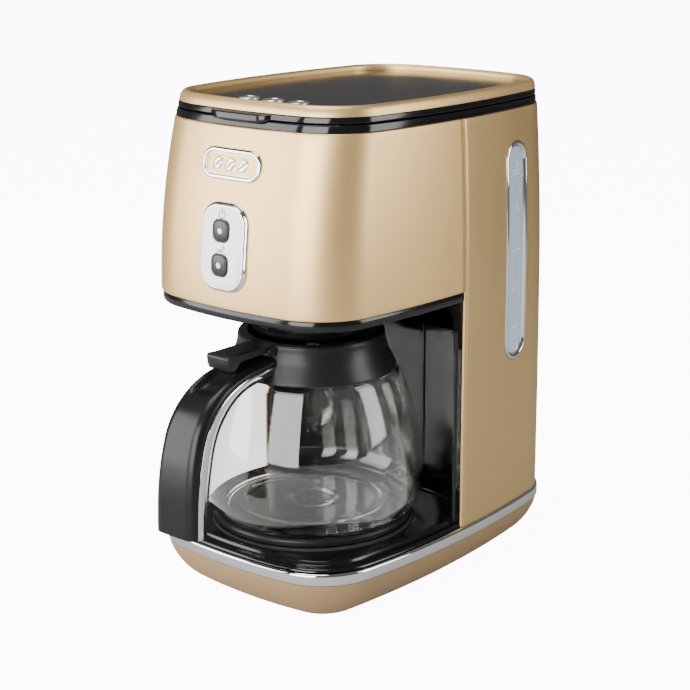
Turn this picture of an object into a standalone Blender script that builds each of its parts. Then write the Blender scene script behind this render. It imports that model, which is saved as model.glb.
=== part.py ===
"""Drip coffee maker with a glass jug: barrel-shaped housing on a bowl-shaped base.

Every piece of the machine is its own closed solid. Lengths are in metres, +Z is up, -Y is the front.
The origin lies on the surface that the feet stand on, under the centre of the whole machine's box.
"""

import math

import bmesh
import bpy
from mathutils import Matrix, Vector

MM = 0.001

# ---- clearances -----------------------------------------------------------------------------------
FIT = 0.3 * MM  # gap between two pieces that touch
RUN = 0.4 * MM  # gap round a piece that moves
WALL = 2.0 * MM  # moulded wall
SHEET = 1.2 * MM  # thin metal or mesh wall

# ---- plan outline: four bowed sides joined by corner arcs ------------------------------------------
HALF_W = 89.3 * MM
HALF_D = 130.3 * MM
FRONT_BOW = 13.0 * MM
SIDE_BOW = 12.8 * MM
CORNER_R = 44.4 * MM
FRONT_STEPS, CORNER_STEPS, SIDE_STEPS = 3, 4, 3

# ---- heights, stacked from the floor up ------------------------------------------------------------
FOOT_H = 3.0 * MM
SKIRT_H = 31.2 * MM
BAND_H = 8.3 * MM
BAY_H = 153.9 * MM
TRIM_H = 7.0 * MM
HOUSING_H = 110.8 * MM
DECK_RING_H = 4.8 * MM
LID_GAP = 0.8 * MM
LID_RIM_H = 3.9 * MM
LID_FRAME_H = 6.3 * MM

SKIRT_Z = FOOT_H
BAND_Z = SKIRT_Z + SKIRT_H
BAY_Z = BAND_Z + BAND_H
TRIM_Z = BAY_Z + BAY_H
HOUSING_Z = TRIM_Z + TRIM_H
SHELL_TOP = HOUSING_Z + HOUSING_H
DECK_TOP = SHELL_TOP + DECK_RING_H
LID_Z = DECK_TOP + LID_GAP
LID_FRAME_Z = LID_Z + LID_RIM_H
TOP_Z = LID_FRAME_Z + LID_FRAME_H

# ---- taper of the upper body -----------------------------------------------------------------------
WIDTH_TAPER = 3.8 * MM
FRONT_TAPER = 15.5 * MM
BACK_TAPER = 7.0 * MM
BACK_STEP = 1.8 * MM
BAND_PROUD = 0.7 * MM

# ---- base ------------------------------------------------------------------------------------------
SKIRT_CURL = 30.0 * MM
SKIRT_POWER = 1.6
SKIRT_LIP = 33.0 * MM
FOOT_R = 8.0 * MM
SCREW_R = 3.4 * MM
CHASSIS_T = 2.8 * MM
GLAND_R = 7.0 * MM
GLAND_BORE_R = 3.6 * MM
GLAND_X = -45.0 * MM
GLAND_Z = 20.0 * MM

# ---- jug bay ---------------------------------------------------------------------------------------
BAY_HALF_W = 80.0 * MM
BAY_DEPTH = 36.0 * MM
BAY_POWER = 3.0
BEAD_INSET = 9.0 * MM
BEAD_H = 5.5 * MM
TRAY_FLOOR_H = 3.0 * MM
LEG_H = 19.5 * MM
BAY_CORNER_R = 12.0 * MM

# ---- jug and warming plate -------------------------------------------------------------------------
JUG_Y = -48.0 * MM
PLATE_H = 10.0 * MM
PLATE_R = 66.0 * MM
PLATE_RIM = 5.0 * MM
JUG_R = 74.2 * MM
JUG_WALL = 2.2 * MM
JUG_FOOT_R = 60.0 * MM
JUG_FOOT_RISE = 17.0 * MM
JUG_ARC_OVER = 46.5 * MM  # how far the ellipse of the side would rise past the shoulder
NECK_R = 45.2 * MM
NECK_STEPS = (0.0, 0.18, 0.45, 1.0)
JUG_BAND_H = 20.0 * MM
LID_RING_H = 4.2 * MM
LID_RING_R = 47.9 * MM
JUG_CLEAR = 1.5 * MM
DISH_DEPTH = 11.0 * MM
HANDLE_HALF_W = 16.5 * MM
HANDLE_ROOT_HALF_W = 13.0 * MM
HANDLE_REACH = 130.0 * MM
HANDLE_T = 14.0 * MM
LEVER_HALF_W = 10.0 * MM
LEVER_REACH = 88.5 * MM
JUG_PIN_R = 1.1 * MM
JUG_PIN_Y = 52.0 * MM

# ---- brew chamber ----------------------------------------------------------------------------------
COLLAR_DROP = 20.4 * MM
COLLAR_R = 39.5 * MM
COLLAR_TOP_R = 44.0 * MM
CHAMBER_TOP_R = 58.0 * MM
VALVE_R = 3.0 * MM
VALVE_TRAVEL = 4.0 * MM
SPRING_WIRE_R = 0.5 * MM
SPRING_TURNS = 4

# ---- front panel, badge and window -----------------------------------------------------------------
BADGE_HALF_W, BADGE_HALF_H, BADGE_UP = 24.3 * MM, 9.3 * MM, 88.5 * MM
PANEL_HALF_W, PANEL_HALF_H, PANEL_UP = 19.3 * MM, 27.3 * MM, 38.5 * MM
PANEL_RIM = 2.4 * MM
BUTTON_HALF = 7.0 * MM
BUTTON_GAP = 10.5 * MM
BUTTON_TRAVEL = 1.2 * MM
LENS_R = 2.0 * MM
PROUD = 1.2 * MM
WINDOW_Y, WINDOW_HALF_W = 61.0 * MM, 13.2 * MM
WINDOW_LOW, WINDOW_HIGH = 146.0 * MM, 293.0 * MM
WINDOW_RIM = 4.0 * MM

# ---- tank, hoses and heater ------------------------------------------------------------------------
TANK_FRONT = 47.0 * MM
TANK_LOW = 60.0 * MM
HOSE_R = 3.2 * MM
HOSE_X = 20.0 * MM
HEATER_R = 4.5 * MM
HEATER_BEND_R = 40.0 * MM

# ---- lid -------------------------------------------------------------------------------------------
HINGE_OUT = 3.0 * MM
KNUCKLE_R = 3.2 * MM
PIN_R = 1.5 * MM
LIP_HALF_W = 24.5 * MM
LIP_REACH = 3.2 * MM
EYELET_R = 6.8 * MM
EYELET_PITCH = 20.4 * MM
EYELET_Y = -82.0 * MM

PLATE_Z = BAY_Z + PLATE_H
JUG_Z = PLATE_Z + FIT
COLLAR_Z = TRIM_Z - COLLAR_DROP
JUG_TOP = COLLAR_Z - JUG_CLEAR
BAND_TOP = JUG_TOP - LID_RING_H
JUG_BAND_Z = BAND_TOP - JUG_BAND_H
JUG_ARC_H = JUG_BAND_Z - 2 * MM - JUG_Z - JUG_FOOT_RISE + JUG_ARC_OVER
HANDLE_FRONT = JUG_Y - HANDLE_REACH
HANDLE_LOW = JUG_Z + 16.0 * MM
CHAMBER_TOP = SHELL_TOP - 5.2 * MM
BODY_Y = (HALF_D + BAND_PROUD + HANDLE_FRONT) / -2

MATERIALS = {
    # name: (colour, metallic, roughness, alpha)
    "champagne_metal": ((0.62, 0.47, 0.30), 0.9, 0.34, 1.0),
    "champagne_paint": ((0.42, 0.31, 0.20), 0.5, 0.5, 1.0),
    "chrome": ((0.82, 0.82, 0.82), 1.0, 0.06, 1.0),
    "black_gloss": ((0.012, 0.012, 0.013), 0.0, 0.12, 1.0),
    "black_satin": ((0.022, 0.022, 0.024), 0.0, 0.38, 1.0),
    "silver_plate": ((0.80, 0.83, 0.87), 0.3, 0.3, 1.0),
    "button_grey": ((0.09, 0.09, 0.10), 0.0, 0.3, 1.0),
    "lens_white": ((0.75, 0.80, 0.85), 0.0, 0.2, 1.0),
    "window_blue": ((0.55, 0.65, 0.75), 0.0, 0.15, 0.6),
    "clear_glass": ((0.92, 0.94, 0.93), 0.0, 0.03, 0.25),
    "tank_clear": ((0.70, 0.76, 0.82), 0.0, 0.2, 0.5),
    "rubber": ((0.03, 0.03, 0.03), 0.0, 0.8, 1.0),
    "silicone": ((0.85, 0.85, 0.82), 0.0, 0.5, 0.8),
    "aluminium": ((0.70, 0.71, 0.72), 1.0, 0.35, 1.0),
    "steel": ((0.55, 0.55, 0.56), 1.0, 0.25, 1.0),
    "board_green": ((0.03, 0.18, 0.08), 0.0, 0.5, 1.0),
    "mesh_gold": ((0.60, 0.50, 0.30), 0.6, 0.45, 1.0),
}


def material(name):
    """The named Principled material, made the first time it is asked for."""
    found = bpy.data.materials.get(name)
    if found:
        return found
    colour, metallic, roughness, alpha = MATERIALS[name]
    made = bpy.data.materials.new(name)
    made.use_nodes = True
    shader = made.node_tree.nodes["Principled BSDF"]
    shader.inputs["Base Color"].default_value = (*colour, 1.0)
    shader.inputs["Metallic"].default_value = metallic
    shader.inputs["Roughness"].default_value = roughness
    shader.inputs["Alpha"].default_value = alpha
    return made


# ==== plan outline ==================================================================================


def bow_radius(half, sagitta):
    """Radius of the arc that has this half chord and sagitta."""
    return (half * half + sagitta * sagitta) / (2 * sagitta)


def corner_centre():
    """Centre of the corner arc that touches the front arc and the side arc from inside, in +X and -Y."""
    front_r, side_r = bow_radius(HALF_W, FRONT_BOW), bow_radius(HALF_D, SIDE_BOW)
    front = Vector((0, front_r - HALF_D))
    side = Vector((HALF_W - side_r, 0))
    reach_front, reach_side = front_r - CORNER_R, side_r - CORNER_R
    apart = side - front
    length = apart.length
    along = (reach_front**2 - reach_side**2 + length**2) / (2 * length)
    off = math.sqrt(max(reach_front**2 - along**2, 0))
    unit = apart / length
    across = Vector((-unit.y, unit.x))
    choices = [front + unit * along + across * off, front + unit * along - across * off]
    return max(choices, key=lambda c: c.x - c.y), front, side


def arc_points(centre, radius, start, end, steps):
    """Points along an arc, both ends included."""
    turns = [start + (end - start) * i / steps for i in range(steps + 1)]
    return [centre + radius * Vector((math.cos(t), math.sin(t))) for t in turns]


def outline(inset=0.0):
    """The whole plan outline, anticlockwise from the middle of the front, moved inwards by inset."""
    corner, front, side = corner_centre()
    turn_in = math.atan2(*(corner - front).yx)
    turn_out = math.atan2(*(corner - side).yx)
    front_r, side_r = bow_radius(HALF_W, FRONT_BOW), bow_radius(HALF_D, SIDE_BOW)
    quarter = arc_points(front, front_r - inset, -math.pi / 2, turn_in, FRONT_STEPS)
    quarter += arc_points(corner, CORNER_R - inset, turn_in, turn_out, CORNER_STEPS)[1:]
    quarter += arc_points(side, side_r - inset, turn_out, 0, SIDE_STEPS)[1:]
    back = [Vector((p.x, -p.y)) for p in reversed(quarter)][1:]
    right = quarter + back
    left = [Vector((-p.x, p.y)) for p in reversed(right)][1:-1]
    return right + left


def half_width(z):
    """Half the body's width at a height."""
    up = max(0.0, (z - HOUSING_Z) / HOUSING_H)
    return HALF_W - WIDTH_TAPER * up * up


def front_reach(z):
    """How far the body reaches forward of its middle at a height."""
    up = max(0.0, (z - HOUSING_Z) / HOUSING_H)
    return HALF_D - FRONT_TAPER * up * up


def back_reach(z):
    """How far the body reaches behind its middle at a height."""
    up = max(0.0, (z - BAY_Z) / (SHELL_TOP - BAY_Z))
    return HALF_D - BACK_STEP - BACK_TAPER * up * up


def shaped(point, z):
    """A point of the plan outline, drawn in to the body's section at a height."""
    reach = front_reach(z) if point.y < 0 else back_reach(z)
    return Vector((point.x * half_width(z) / HALF_W, point.y * reach / HALF_D, z))


def body_ring(inset, z):
    """The body's outline at a height, moved inwards by inset."""
    return [shaped(p, z) for p in outline(inset)]


def base_ring(inset, z):
    """The base's outline, which has no taper, moved inwards by inset."""
    return [Vector((p.x, p.y, z)) for p in outline(inset)]


def front_half(inset, z):
    """The front half of the body's outline from the left seam to the right seam."""
    found = outline(inset)
    quarter = len(found) // 4
    order = found[-quarter:] + found[: quarter + 1]
    return [shaped(p, z) for p in order]


def back_half(inset, z):
    """The back half of the body's outline from the right seam to the left seam."""
    found = outline(inset)
    quarter = len(found) // 4
    return [shaped(p, z) for p in found[quarter : 3 * quarter + 1]]


def side_x(y, z):
    """X of the body's right side at y and z, behind the middle."""
    side_r = bow_radius(HALF_D, SIDE_BOW)
    plain = y * HALF_D / back_reach(z)
    return (HALF_W - side_r + math.sqrt(side_r**2 - plain**2)) * half_width(z) / HALF_W


def front_y(x, z):
    """Y of the body's front at x and z."""
    front_r = bow_radius(HALF_W, FRONT_BOW)
    plain = x * HALF_W / half_width(z)
    return (front_r - HALF_D - math.sqrt(front_r**2 - plain**2)) * front_reach(z) / HALF_D


def bay_curve(offset, z, steps=12):
    """The bay's rear wall from the right seam round to the left seam, moved outwards by offset."""
    power = 2 / BAY_POWER
    half, depth = BAY_HALF_W + offset, BAY_DEPTH + offset
    points = []
    for i in range(steps + 1):
        turn = math.pi * i / steps
        c, s = math.cos(turn), math.sin(turn)
        x = math.copysign(abs(c) ** power, c) * half
        points.append(Vector((x, abs(s) ** power * depth, z)))
    return points


def bay_ring(inset, offset, z, seam=0.0):
    """The bay's floor outline: the front half of the base and the bay's rear wall."""
    front = front_half(inset, z)
    ends = [Vector((p.x, -seam, p.z)) for p in (front[0], front[-1])]
    return [ends[0]] + front[1:-1] + [ends[1]] + bay_curve(offset, z)


def circle_ring(centre, radius, z, points):
    """A circle with one point in the direction of each given point."""
    ring = []
    for p in points:
        away = Vector((p.x - centre.x, p.y - centre.y)).normalized()
        ring.append(Vector((centre.x + away.x * radius, centre.y + away.y * radius, z)))
    return ring


def stadium(half_w, half_h, corner, corner_steps=5, side_steps=1):
    """A rounded rectangle in its own plane, as (across, up) pairs."""
    points = []
    quarter = math.pi / 2
    for k, (sx, sy) in enumerate(((1, -1), (1, 1), (-1, 1), (-1, -1))):
        centre = Vector((sx * (half_w - corner), sy * (half_h - corner)))
        start = -quarter + k * quarter
        arc = arc_points(centre, corner, start, start + quarter, corner_steps)
        if points and side_steps > 1:
            last = points[-1]
            points += [last.lerp(arc[0], i / side_steps) for i in range(1, side_steps)]
        points += arc
    if side_steps > 1:
        last, first = points[-1], points[0]
        points += [last.lerp(first, i / side_steps) for i in range(1, side_steps)]
    tidy = []
    for p in points:
        if not tidy or (p - tidy[-1]).length > 1e-6:
            tidy.append(p)
    if (tidy[0] - tidy[-1]).length < 1e-6:
        tidy.pop()
    return tidy


# ==== solids ========================================================================================


def finish(name, mesh_tool, finish_name, smooth=35):
    """Turns a bmesh into a named object in the machine's frame."""
    bmesh.ops.remove_doubles(mesh_tool, verts=mesh_tool.verts, dist=1e-7)
    bmesh.ops.recalc_face_normals(mesh_tool, faces=mesh_tool.faces)
    data = bpy.data.meshes.new(name)
    mesh_tool.to_mesh(data)
    mesh_tool.free()
    data.shade_smooth()
    data.set_sharp_from_angle(angle=math.radians(smooth))
    return place(name, data, finish_name)


def place(name, data, finish_name):
    """An object for a mesh or curve, parented to the machine's frame."""
    obj = bpy.data.objects.new(name, data)
    bpy.context.scene.collection.objects.link(obj)
    obj.parent = bpy.data.objects["machine"]
    if finish_name:
        data.materials.append(material(finish_name))
    return obj


def loft(name, rings, finish_name, closed=False):
    """Bridges rings in turn. Closed joins the last to the first; otherwise both ends are capped."""
    tool = bmesh.new()
    loops = [[tool.verts.new(p) for p in ring] for ring in rings]
    pairs = list(zip(loops, loops[1:]))
    if closed:
        pairs.append((loops[-1], loops[0]))
    for lower, upper in pairs:
        count = len(lower)
        for i in range(count):
            j = (i + 1) % count
            tool.faces.new((lower[i], lower[j], upper[j], upper[i]))
    if not closed:
        tool.faces.new(loops[0])
        tool.faces.new(loops[-1])
    return finish(name, tool, finish_name)


def lathe(name, profile, finish_name, centre=(0, 0), steps=28, closed=True, axis="Z"):
    """Spins a profile of (radius, height) pairs about a vertical axis, or one along Y."""
    tool = bmesh.new()
    verts = [tool.verts.new((r, 0, h)) for r, h in profile]
    edges = [tool.edges.new(pair) for pair in zip(verts, verts[1:])]
    if closed:
        edges.append(tool.edges.new((verts[-1], verts[0])))
    bmesh.ops.spin(
        tool,
        geom=verts + edges,
        cent=(0, 0, 0),
        axis=(0, 0, 1),
        angle=2 * math.pi,
        steps=steps,
        use_merge=True,
    )
    bmesh.ops.remove_doubles(tool, verts=tool.verts, dist=1e-6)
    if axis == "Y":
        turn = Matrix.Rotation(math.pi / 2, 4, "X")
        bmesh.ops.transform(tool, matrix=turn, verts=tool.verts)
    if axis == "X":
        turn = Matrix.Rotation(math.pi / 2, 4, "Y")
        bmesh.ops.transform(tool, matrix=turn, verts=tool.verts)
    obj = finish(name, tool, finish_name)
    obj.location = (centre[0], centre[1], centre[2] if len(centre) > 2 else 0)
    return obj


def box(name, low, high, finish_name, bevel=0.0):
    """A block between two corners, with bevelled edges where asked."""
    tool = bmesh.new()
    bmesh.ops.create_cube(tool, size=1)
    low, high = Vector(low), Vector(high)
    size = Matrix.Diagonal((high - low).to_4d())
    size[3][3] = 1
    bmesh.ops.transform(tool, matrix=size, verts=tool.verts)
    if bevel:
        bmesh.ops.bevel(tool, geom=tool.edges[:], offset=bevel, segments=2, affect="EDGES")
    bmesh.ops.translate(tool, vec=(low + high) / 2, verts=tool.verts)
    return finish(name, tool, finish_name)


def prism(name, pairs, low, high, finish_name, plane="XZ"):
    """A flat outline given as pairs, pushed along the third axis from low to high."""
    spread = {
        "XZ": lambda p, t: Vector((p[0], t, p[1])),
        "YZ": lambda p, t: Vector((t, p[0], p[1])),
        "XY": lambda p, t: Vector((p[0], p[1], t)),
    }[plane]
    return loft(name, [[spread(p, t) for p in pairs] for t in (low, high)], finish_name)


def hose(name, points, radius, finish_name):
    """A round tube along a smooth curve through points."""
    data = bpy.data.curves.new(name, "CURVE")
    data.dimensions = "3D"
    data.bevel_depth = radius
    data.bevel_resolution = 2
    data.use_fill_caps = True
    spline = data.splines.new("POLY")
    spline.points.add(len(points) - 1)
    for slot, p in zip(spline.points, points):
        slot.co = (*p, 1)
    return place(name, data, finish_name)


def rounded_path(corners, radius, steps=4):
    """A path through corner points whose bends are quadratic curves of about this radius."""
    points = [Vector(corners[0])]
    for before, here, after in zip(corners, corners[1:], corners[2:]):
        before, here, after = Vector(before), Vector(here), Vector(after)
        start = here + (before - here).normalized() * radius
        end = here + (after - here).normalized() * radius
        for i in range(steps + 1):
            t = i / steps
            points.append(start * (1 - t) ** 2 + here * 2 * t * (1 - t) + end * t * t)
    points.append(Vector(corners[-1]))
    return points


def hidden(cutter):
    """Marks a helper that only cuts or joins."""
    cutter.hide_render = True
    cutter.display_type = "WIRE"
    return cutter


def combine(obj, other, operation):
    """Adds a Boolean between an object and a helper."""
    modifier = obj.modifiers.new(operation.title() + "_" + other.name, "BOOLEAN")
    modifier.operation = operation
    modifier.object = hidden(other)
    modifier.solver = "EXACT"
    return obj


def cut(obj, other):
    return combine(obj, other, "DIFFERENCE")


def join(obj, other):
    return combine(obj, other, "UNION")


# ==== base ==========================================================================================


def skirt_inset(z):
    """How far the skirt curls in under the band at a height: a quarter of a superellipse."""
    down = min(1.0, (BAND_Z - z) / SKIRT_H)
    return SKIRT_CURL * (1 - (1 - down**SKIRT_POWER) ** (1 / SKIRT_POWER))


def build_base():
    """Skirt, bottom cover, feet, screws, band and chassis."""
    heights = [BAND_Z - FIT, BAND_Z - 12 * MM, BAND_Z - 20 * MM, BAND_Z - 26.5 * MM]
    outer = [(skirt_inset(z), z) for z in heights] + [(SKIRT_LIP, SKIRT_Z)]
    inner = [(SKIRT_LIP, SKIRT_Z + WALL)]
    inner += [(skirt_inset(z) + WALL, z + WALL * 0.6) for z in reversed(heights[1:])]
    inner += [(skirt_inset(heights[0]) + WALL, heights[0])]
    skirt = loft("base_skirt", [base_ring(i, z) for i, z in outer + inner], "champagne_paint", closed=True)
    gland_y = HALF_D - skirt_inset(GLAND_Z)
    gland_low, gland_high = gland_y - 9 * MM, gland_y + 4 * MM
    cut(skirt, lathe("gland_cut", [(0, -gland_high - 9 * MM), (GLAND_R + FIT, -gland_high - 9 * MM),
        (GLAND_R + FIT, -gland_low + 20 * MM), (0, -gland_low + 20 * MM)], None,
        centre=(GLAND_X, 0, GLAND_Z), steps=20, closed=False, axis="Y"))
    gland = [(GLAND_BORE_R, -gland_high), (GLAND_R - 1.5 * MM, -gland_high),
        (GLAND_R, -gland_high + 2 * MM),
        (GLAND_R, -gland_low), (GLAND_BORE_R, -gland_low)]
    lathe("cord_gland", gland, "rubber", centre=(GLAND_X, 0, GLAND_Z), steps=20, axis="Y")

    plate_inset = SKIRT_LIP + FIT
    loft("base_plate", [base_ring(plate_inset, z) for z in (SKIRT_Z, SKIRT_Z + WALL)], "black_satin")
    foot_x, foot_y = HALF_W - SKIRT_LIP - 14 * MM, HALF_D - SKIRT_LIP - 17 * MM
    foot = [(0, 0), (FOOT_R - MM, 0), (FOOT_R, MM), (FOOT_R, FOOT_H - FIT), (0, FOOT_H - FIT)]
    head = [(0, SKIRT_Z - FIT - 1.4 * MM), (SCREW_R, SKIRT_Z - FIT - 1.4 * MM), (SCREW_R, SKIRT_Z - FIT),
        (0, SKIRT_Z - FIT)]
    corners = {"front_left": (-1, -1), "front_right": (1, -1), "rear_left": (-1, 1), "rear_right": (1, 1)}
    for where, (sx, sy) in corners.items():
        lathe("foot_" + where, foot, "rubber", centre=(sx * foot_x, sy * foot_y), steps=20, closed=False)
        lathe("base_screw_" + where, head, "steel", steps=12, closed=False,
            centre=(sx * foot_x, sy * (foot_y - 22 * MM)))

    low, high = BAND_Z, BAY_Z - FIT
    rise = (high - low) * 0.22
    band = [(0, low), (-BAND_PROUD, low + rise), (-BAND_PROUD, high - rise), (0, high), (3 * MM, high),
        (3 * MM, low)]
    loft("chrome_band", [base_ring(i, z) for i, z in band], "chrome", closed=True)

    chassis_z = BAY_Z - CHASSIS_T - 1.2 * MM
    rings = [base_ring(3 * MM + FIT, z) for z in (chassis_z, chassis_z + CHASSIS_T)]
    chassis = loft("chassis_plate", rings, "black_satin")
    well = [(0, -MM), (PLATE_R - 6 * MM, -MM), (PLATE_R - 6 * MM, BAY_Z), (0, BAY_Z)]
    cut(chassis, lathe("chassis_well", well, None, centre=(0, JUG_Y), steps=32, closed=False))
    cut(chassis, box("chassis_slot", (-45 * MM, BAY_DEPTH + WALL, 0), (45 * MM, 78 * MM, BAY_Z), None))


# ==== bay ===========================================================================================


def build_bay():
    """Tray, liner, warming plate and its seal."""
    well_r = PLATE_R + 2 * MM
    floor = BAY_Z + TRAY_FLOOR_H
    under = BAY_Z + FIT
    back = -FIT
    rings = [
        bay_ring(1.0 * MM, back, under, FIT),
        bay_ring(4.0 * MM, back, BAY_Z + BEAD_H * 0.72, FIT),
        bay_ring(BEAD_INSET - 1.5 * MM, back - MM, BAY_Z + BEAD_H, FIT),
        bay_ring(BEAD_INSET + 0.5 * MM, back - 2 * MM, BAY_Z + BEAD_H, FIT),
        bay_ring(BEAD_INSET + 2.5 * MM, back - 3 * MM, floor, FIT),
    ]
    tray = loft("bay_tray", rings, "black_gloss")
    well = [(0, BAY_Z - MM), (well_r, BAY_Z - MM), (well_r, BAY_Z + 2 * BEAD_H), (0, BAY_Z + 2 * BEAD_H)]
    cut(tray, lathe("tray_well", well, None, centre=(0, JUG_Y), steps=28, closed=False))

    rim = PLATE_Z - PLATE_RIM
    plate = [(0, PLATE_Z), (PLATE_R - 2 * MM, PLATE_Z), (PLATE_R, PLATE_Z - 1.5 * MM), (PLATE_R, rim),
        (PLATE_R - SHEET, rim), (PLATE_R - SHEET, PLATE_Z - 2 * SHEET),
        (PLATE_R - 3 * MM, PLATE_Z - SHEET), (0, PLATE_Z - SHEET)]
    lathe("warming_plate", plate, "black_satin", centre=(0, JUG_Y), steps=28, closed=False)
    seal_in, seal_out = PLATE_R + FIT, PLATE_R + 2 * MM - FIT
    seal = [(seal_in, under), (seal_out, under), (seal_out, floor + 1.5 * MM), (seal_in, floor + 1.5 * MM)]
    lathe("plate_seal", seal, "rubber", centre=(0, JUG_Y), steps=28)

    flange_x = HALF_W - WALL - FIT - 0.6 * MM
    low, high = BAY_Z + FIT, TRIM_Z - FIT

    def liner_ring(z):
        wall = bay_curve(WALL, z)
        face = bay_curve(0, z)
        right = [Vector((flange_x, FIT, z)), Vector((flange_x, FIT + WALL, z))]
        left = [Vector((-flange_x, FIT + WALL, z)), Vector((-flange_x, FIT, z))]
        wall[0].y = wall[-1].y = FIT + WALL
        face[0].y = face[-1].y = FIT
        return right + wall + left + face[::-1]

    liner = loft("bay_liner", [liner_ring(z) for z in (low, high)], "black_gloss")
    leg_z = TRIM_Z - LEG_H
    for side in (-1, 1):
        a, b = sorted((side * (BAY_HALF_W - MM), side * (HALF_W + MM)))
        cut(liner, box(f"leg_room_{side + 1}", (a, -MM, leg_z - FIT),
            (b, WALL + 2 * FIT + 0.1 * MM, TRIM_Z + MM), None))


def build_housing_trim():
    """The lip round the housing's lower edge, the bay's ceiling and its two short legs."""
    inset = 1.2 * MM
    top = HOUSING_Z - FIT
    ceiling = TRIM_Z + WALL
    trim = loft("housing_trim", [
        bay_ring(inset + 1.2 * MM, WALL, TRIM_Z, 0),
        bay_ring(inset, WALL, TRIM_Z + 1.6 * MM, 0),
        bay_ring(inset, WALL, top, 0),
        bay_ring(inset + 4 * MM, WALL - 2 * MM, top, WALL),
        bay_ring(inset + 4 * MM, WALL - 2 * MM, ceiling, WALL),
    ], "black_gloss")
    leg_x = HALF_W - WALL - FIT - 0.6 * MM
    low = TRIM_Z - LEG_H
    corner = arc_points(Vector((BAY_HALF_W - BAY_CORNER_R, TRIM_Z - 4 * MM - BAY_CORNER_R)), BAY_CORNER_R,
        0, math.pi / 2, 4)
    half = [(BAY_HALF_W, low)] + [(p.x, p.y) for p in corner]
    frame = [(-leg_x, low), (-leg_x, TRIM_Z + MM), (leg_x, TRIM_Z + MM),
        (leg_x, low)] + half + [(-x, z) for x, z in reversed(half)]
    join(trim, prism("trim_frame", frame, FIT * 0.2, WALL, None))
    hole = [(0, TRIM_Z - 9 * MM), (COLLAR_TOP_R + FIT, TRIM_Z - 9 * MM), (COLLAR_TOP_R + FIT, HOUSING_Z),
        (0, HOUSING_Z)]
    cut(trim, lathe("collar_hole", hole, None, centre=(0, JUG_Y), steps=28, closed=False))


# ==== shells ========================================================================================


def shell_levels(low):
    """Heights of a shell's rings, closer where it tapers."""
    upper = [HOUSING_Z + HOUSING_H * t for t in (0.28, 0.52, 0.77, 1.0)]
    return [low] + [z for z in [HOUSING_Z] + upper if z > low + MM]


def build_shells():
    """The housing's front wrap and the column's rear wrap."""

    def open_ring(half, seam, z):
        outside, inside = half(0, z), half(WALL, z)
        for ends in (outside, inside):
            ends[0].y = ends[-1].y = seam
        return outside + inside[::-1]

    levels = shell_levels(HOUSING_Z)
    front = loft("front_shell", [open_ring(front_half, -FIT / 2, z) for z in levels], "champagne_metal")
    levels = shell_levels(BAY_Z)
    rear = loft("rear_shell", [open_ring(back_half, FIT / 2, z) for z in levels], "champagne_metal")
    opening = stadium(PANEL_HALF_W + FIT, PANEL_HALF_H + FIT, PANEL_HALF_W * 0.72)
    panel_z = HOUSING_Z + PANEL_UP
    shifted = [(p.x, p.y + panel_z) for p in opening]
    cut(front, prism("panel_opening", shifted, -HALF_D - 9 * MM, -HALF_D + 26 * MM, None))
    middle, half_h = (WINDOW_LOW + WINDOW_HIGH) / 2, (WINDOW_HIGH - WINDOW_LOW) / 2
    slot = stadium(WINDOW_HALF_W + FIT, half_h + FIT, WINDOW_HALF_W * 0.86)
    shifted = [(p.x + WINDOW_Y, p.y + middle) for p in slot]
    cut(rear, prism("window_slot", shifted, HALF_W - 26 * MM, HALF_W + 9 * MM, None, plane="YZ"))


def on_front(pairs, up, depth):
    """Points of a small outline laid on the housing's front, depth below its surface."""
    return [Vector((p.x, front_y(p.x, p.y + up) + depth, p.y + up)) for p in pairs]


def on_side(pairs, up, depth):
    """Points of a small outline laid on the column's right side, depth below its surface."""
    ring = []
    for p in pairs:
        y, z = WINDOW_Y + p.x, up + p.y
        ring.append(Vector((side_x(y, z) - depth, y, z)))
    return ring


def laid_plate(name, size, lay, up, depths, finish_name, columns=6, side_rows=1):
    """A rounded plate on a curved face. Its rows run up the face, each with columns steps across."""
    half_w, half_h, corner = size
    rows = []
    for i in range(6):
        turn = math.pi / 2 * i / 5
        rows.append((half_w - corner + corner * math.sin(turn), corner - half_h - corner * math.cos(turn)))
    straight = 2 * (half_h - corner)
    rows += [(half_w, rows[-1][1] + straight * i / side_rows) for i in range(1, side_rows)]
    rows += [(w, -h) for w, h in reversed(rows[:6])]
    rings = []
    for w, h in rows:
        across = [Vector((w * (2 * j / columns - 1), h)) for j in range(columns + 1)]
        rings.append(lay(across, up, depths[0]) + lay(across, up, depths[1])[::-1])
    return loft(name, rings, finish_name)


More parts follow.
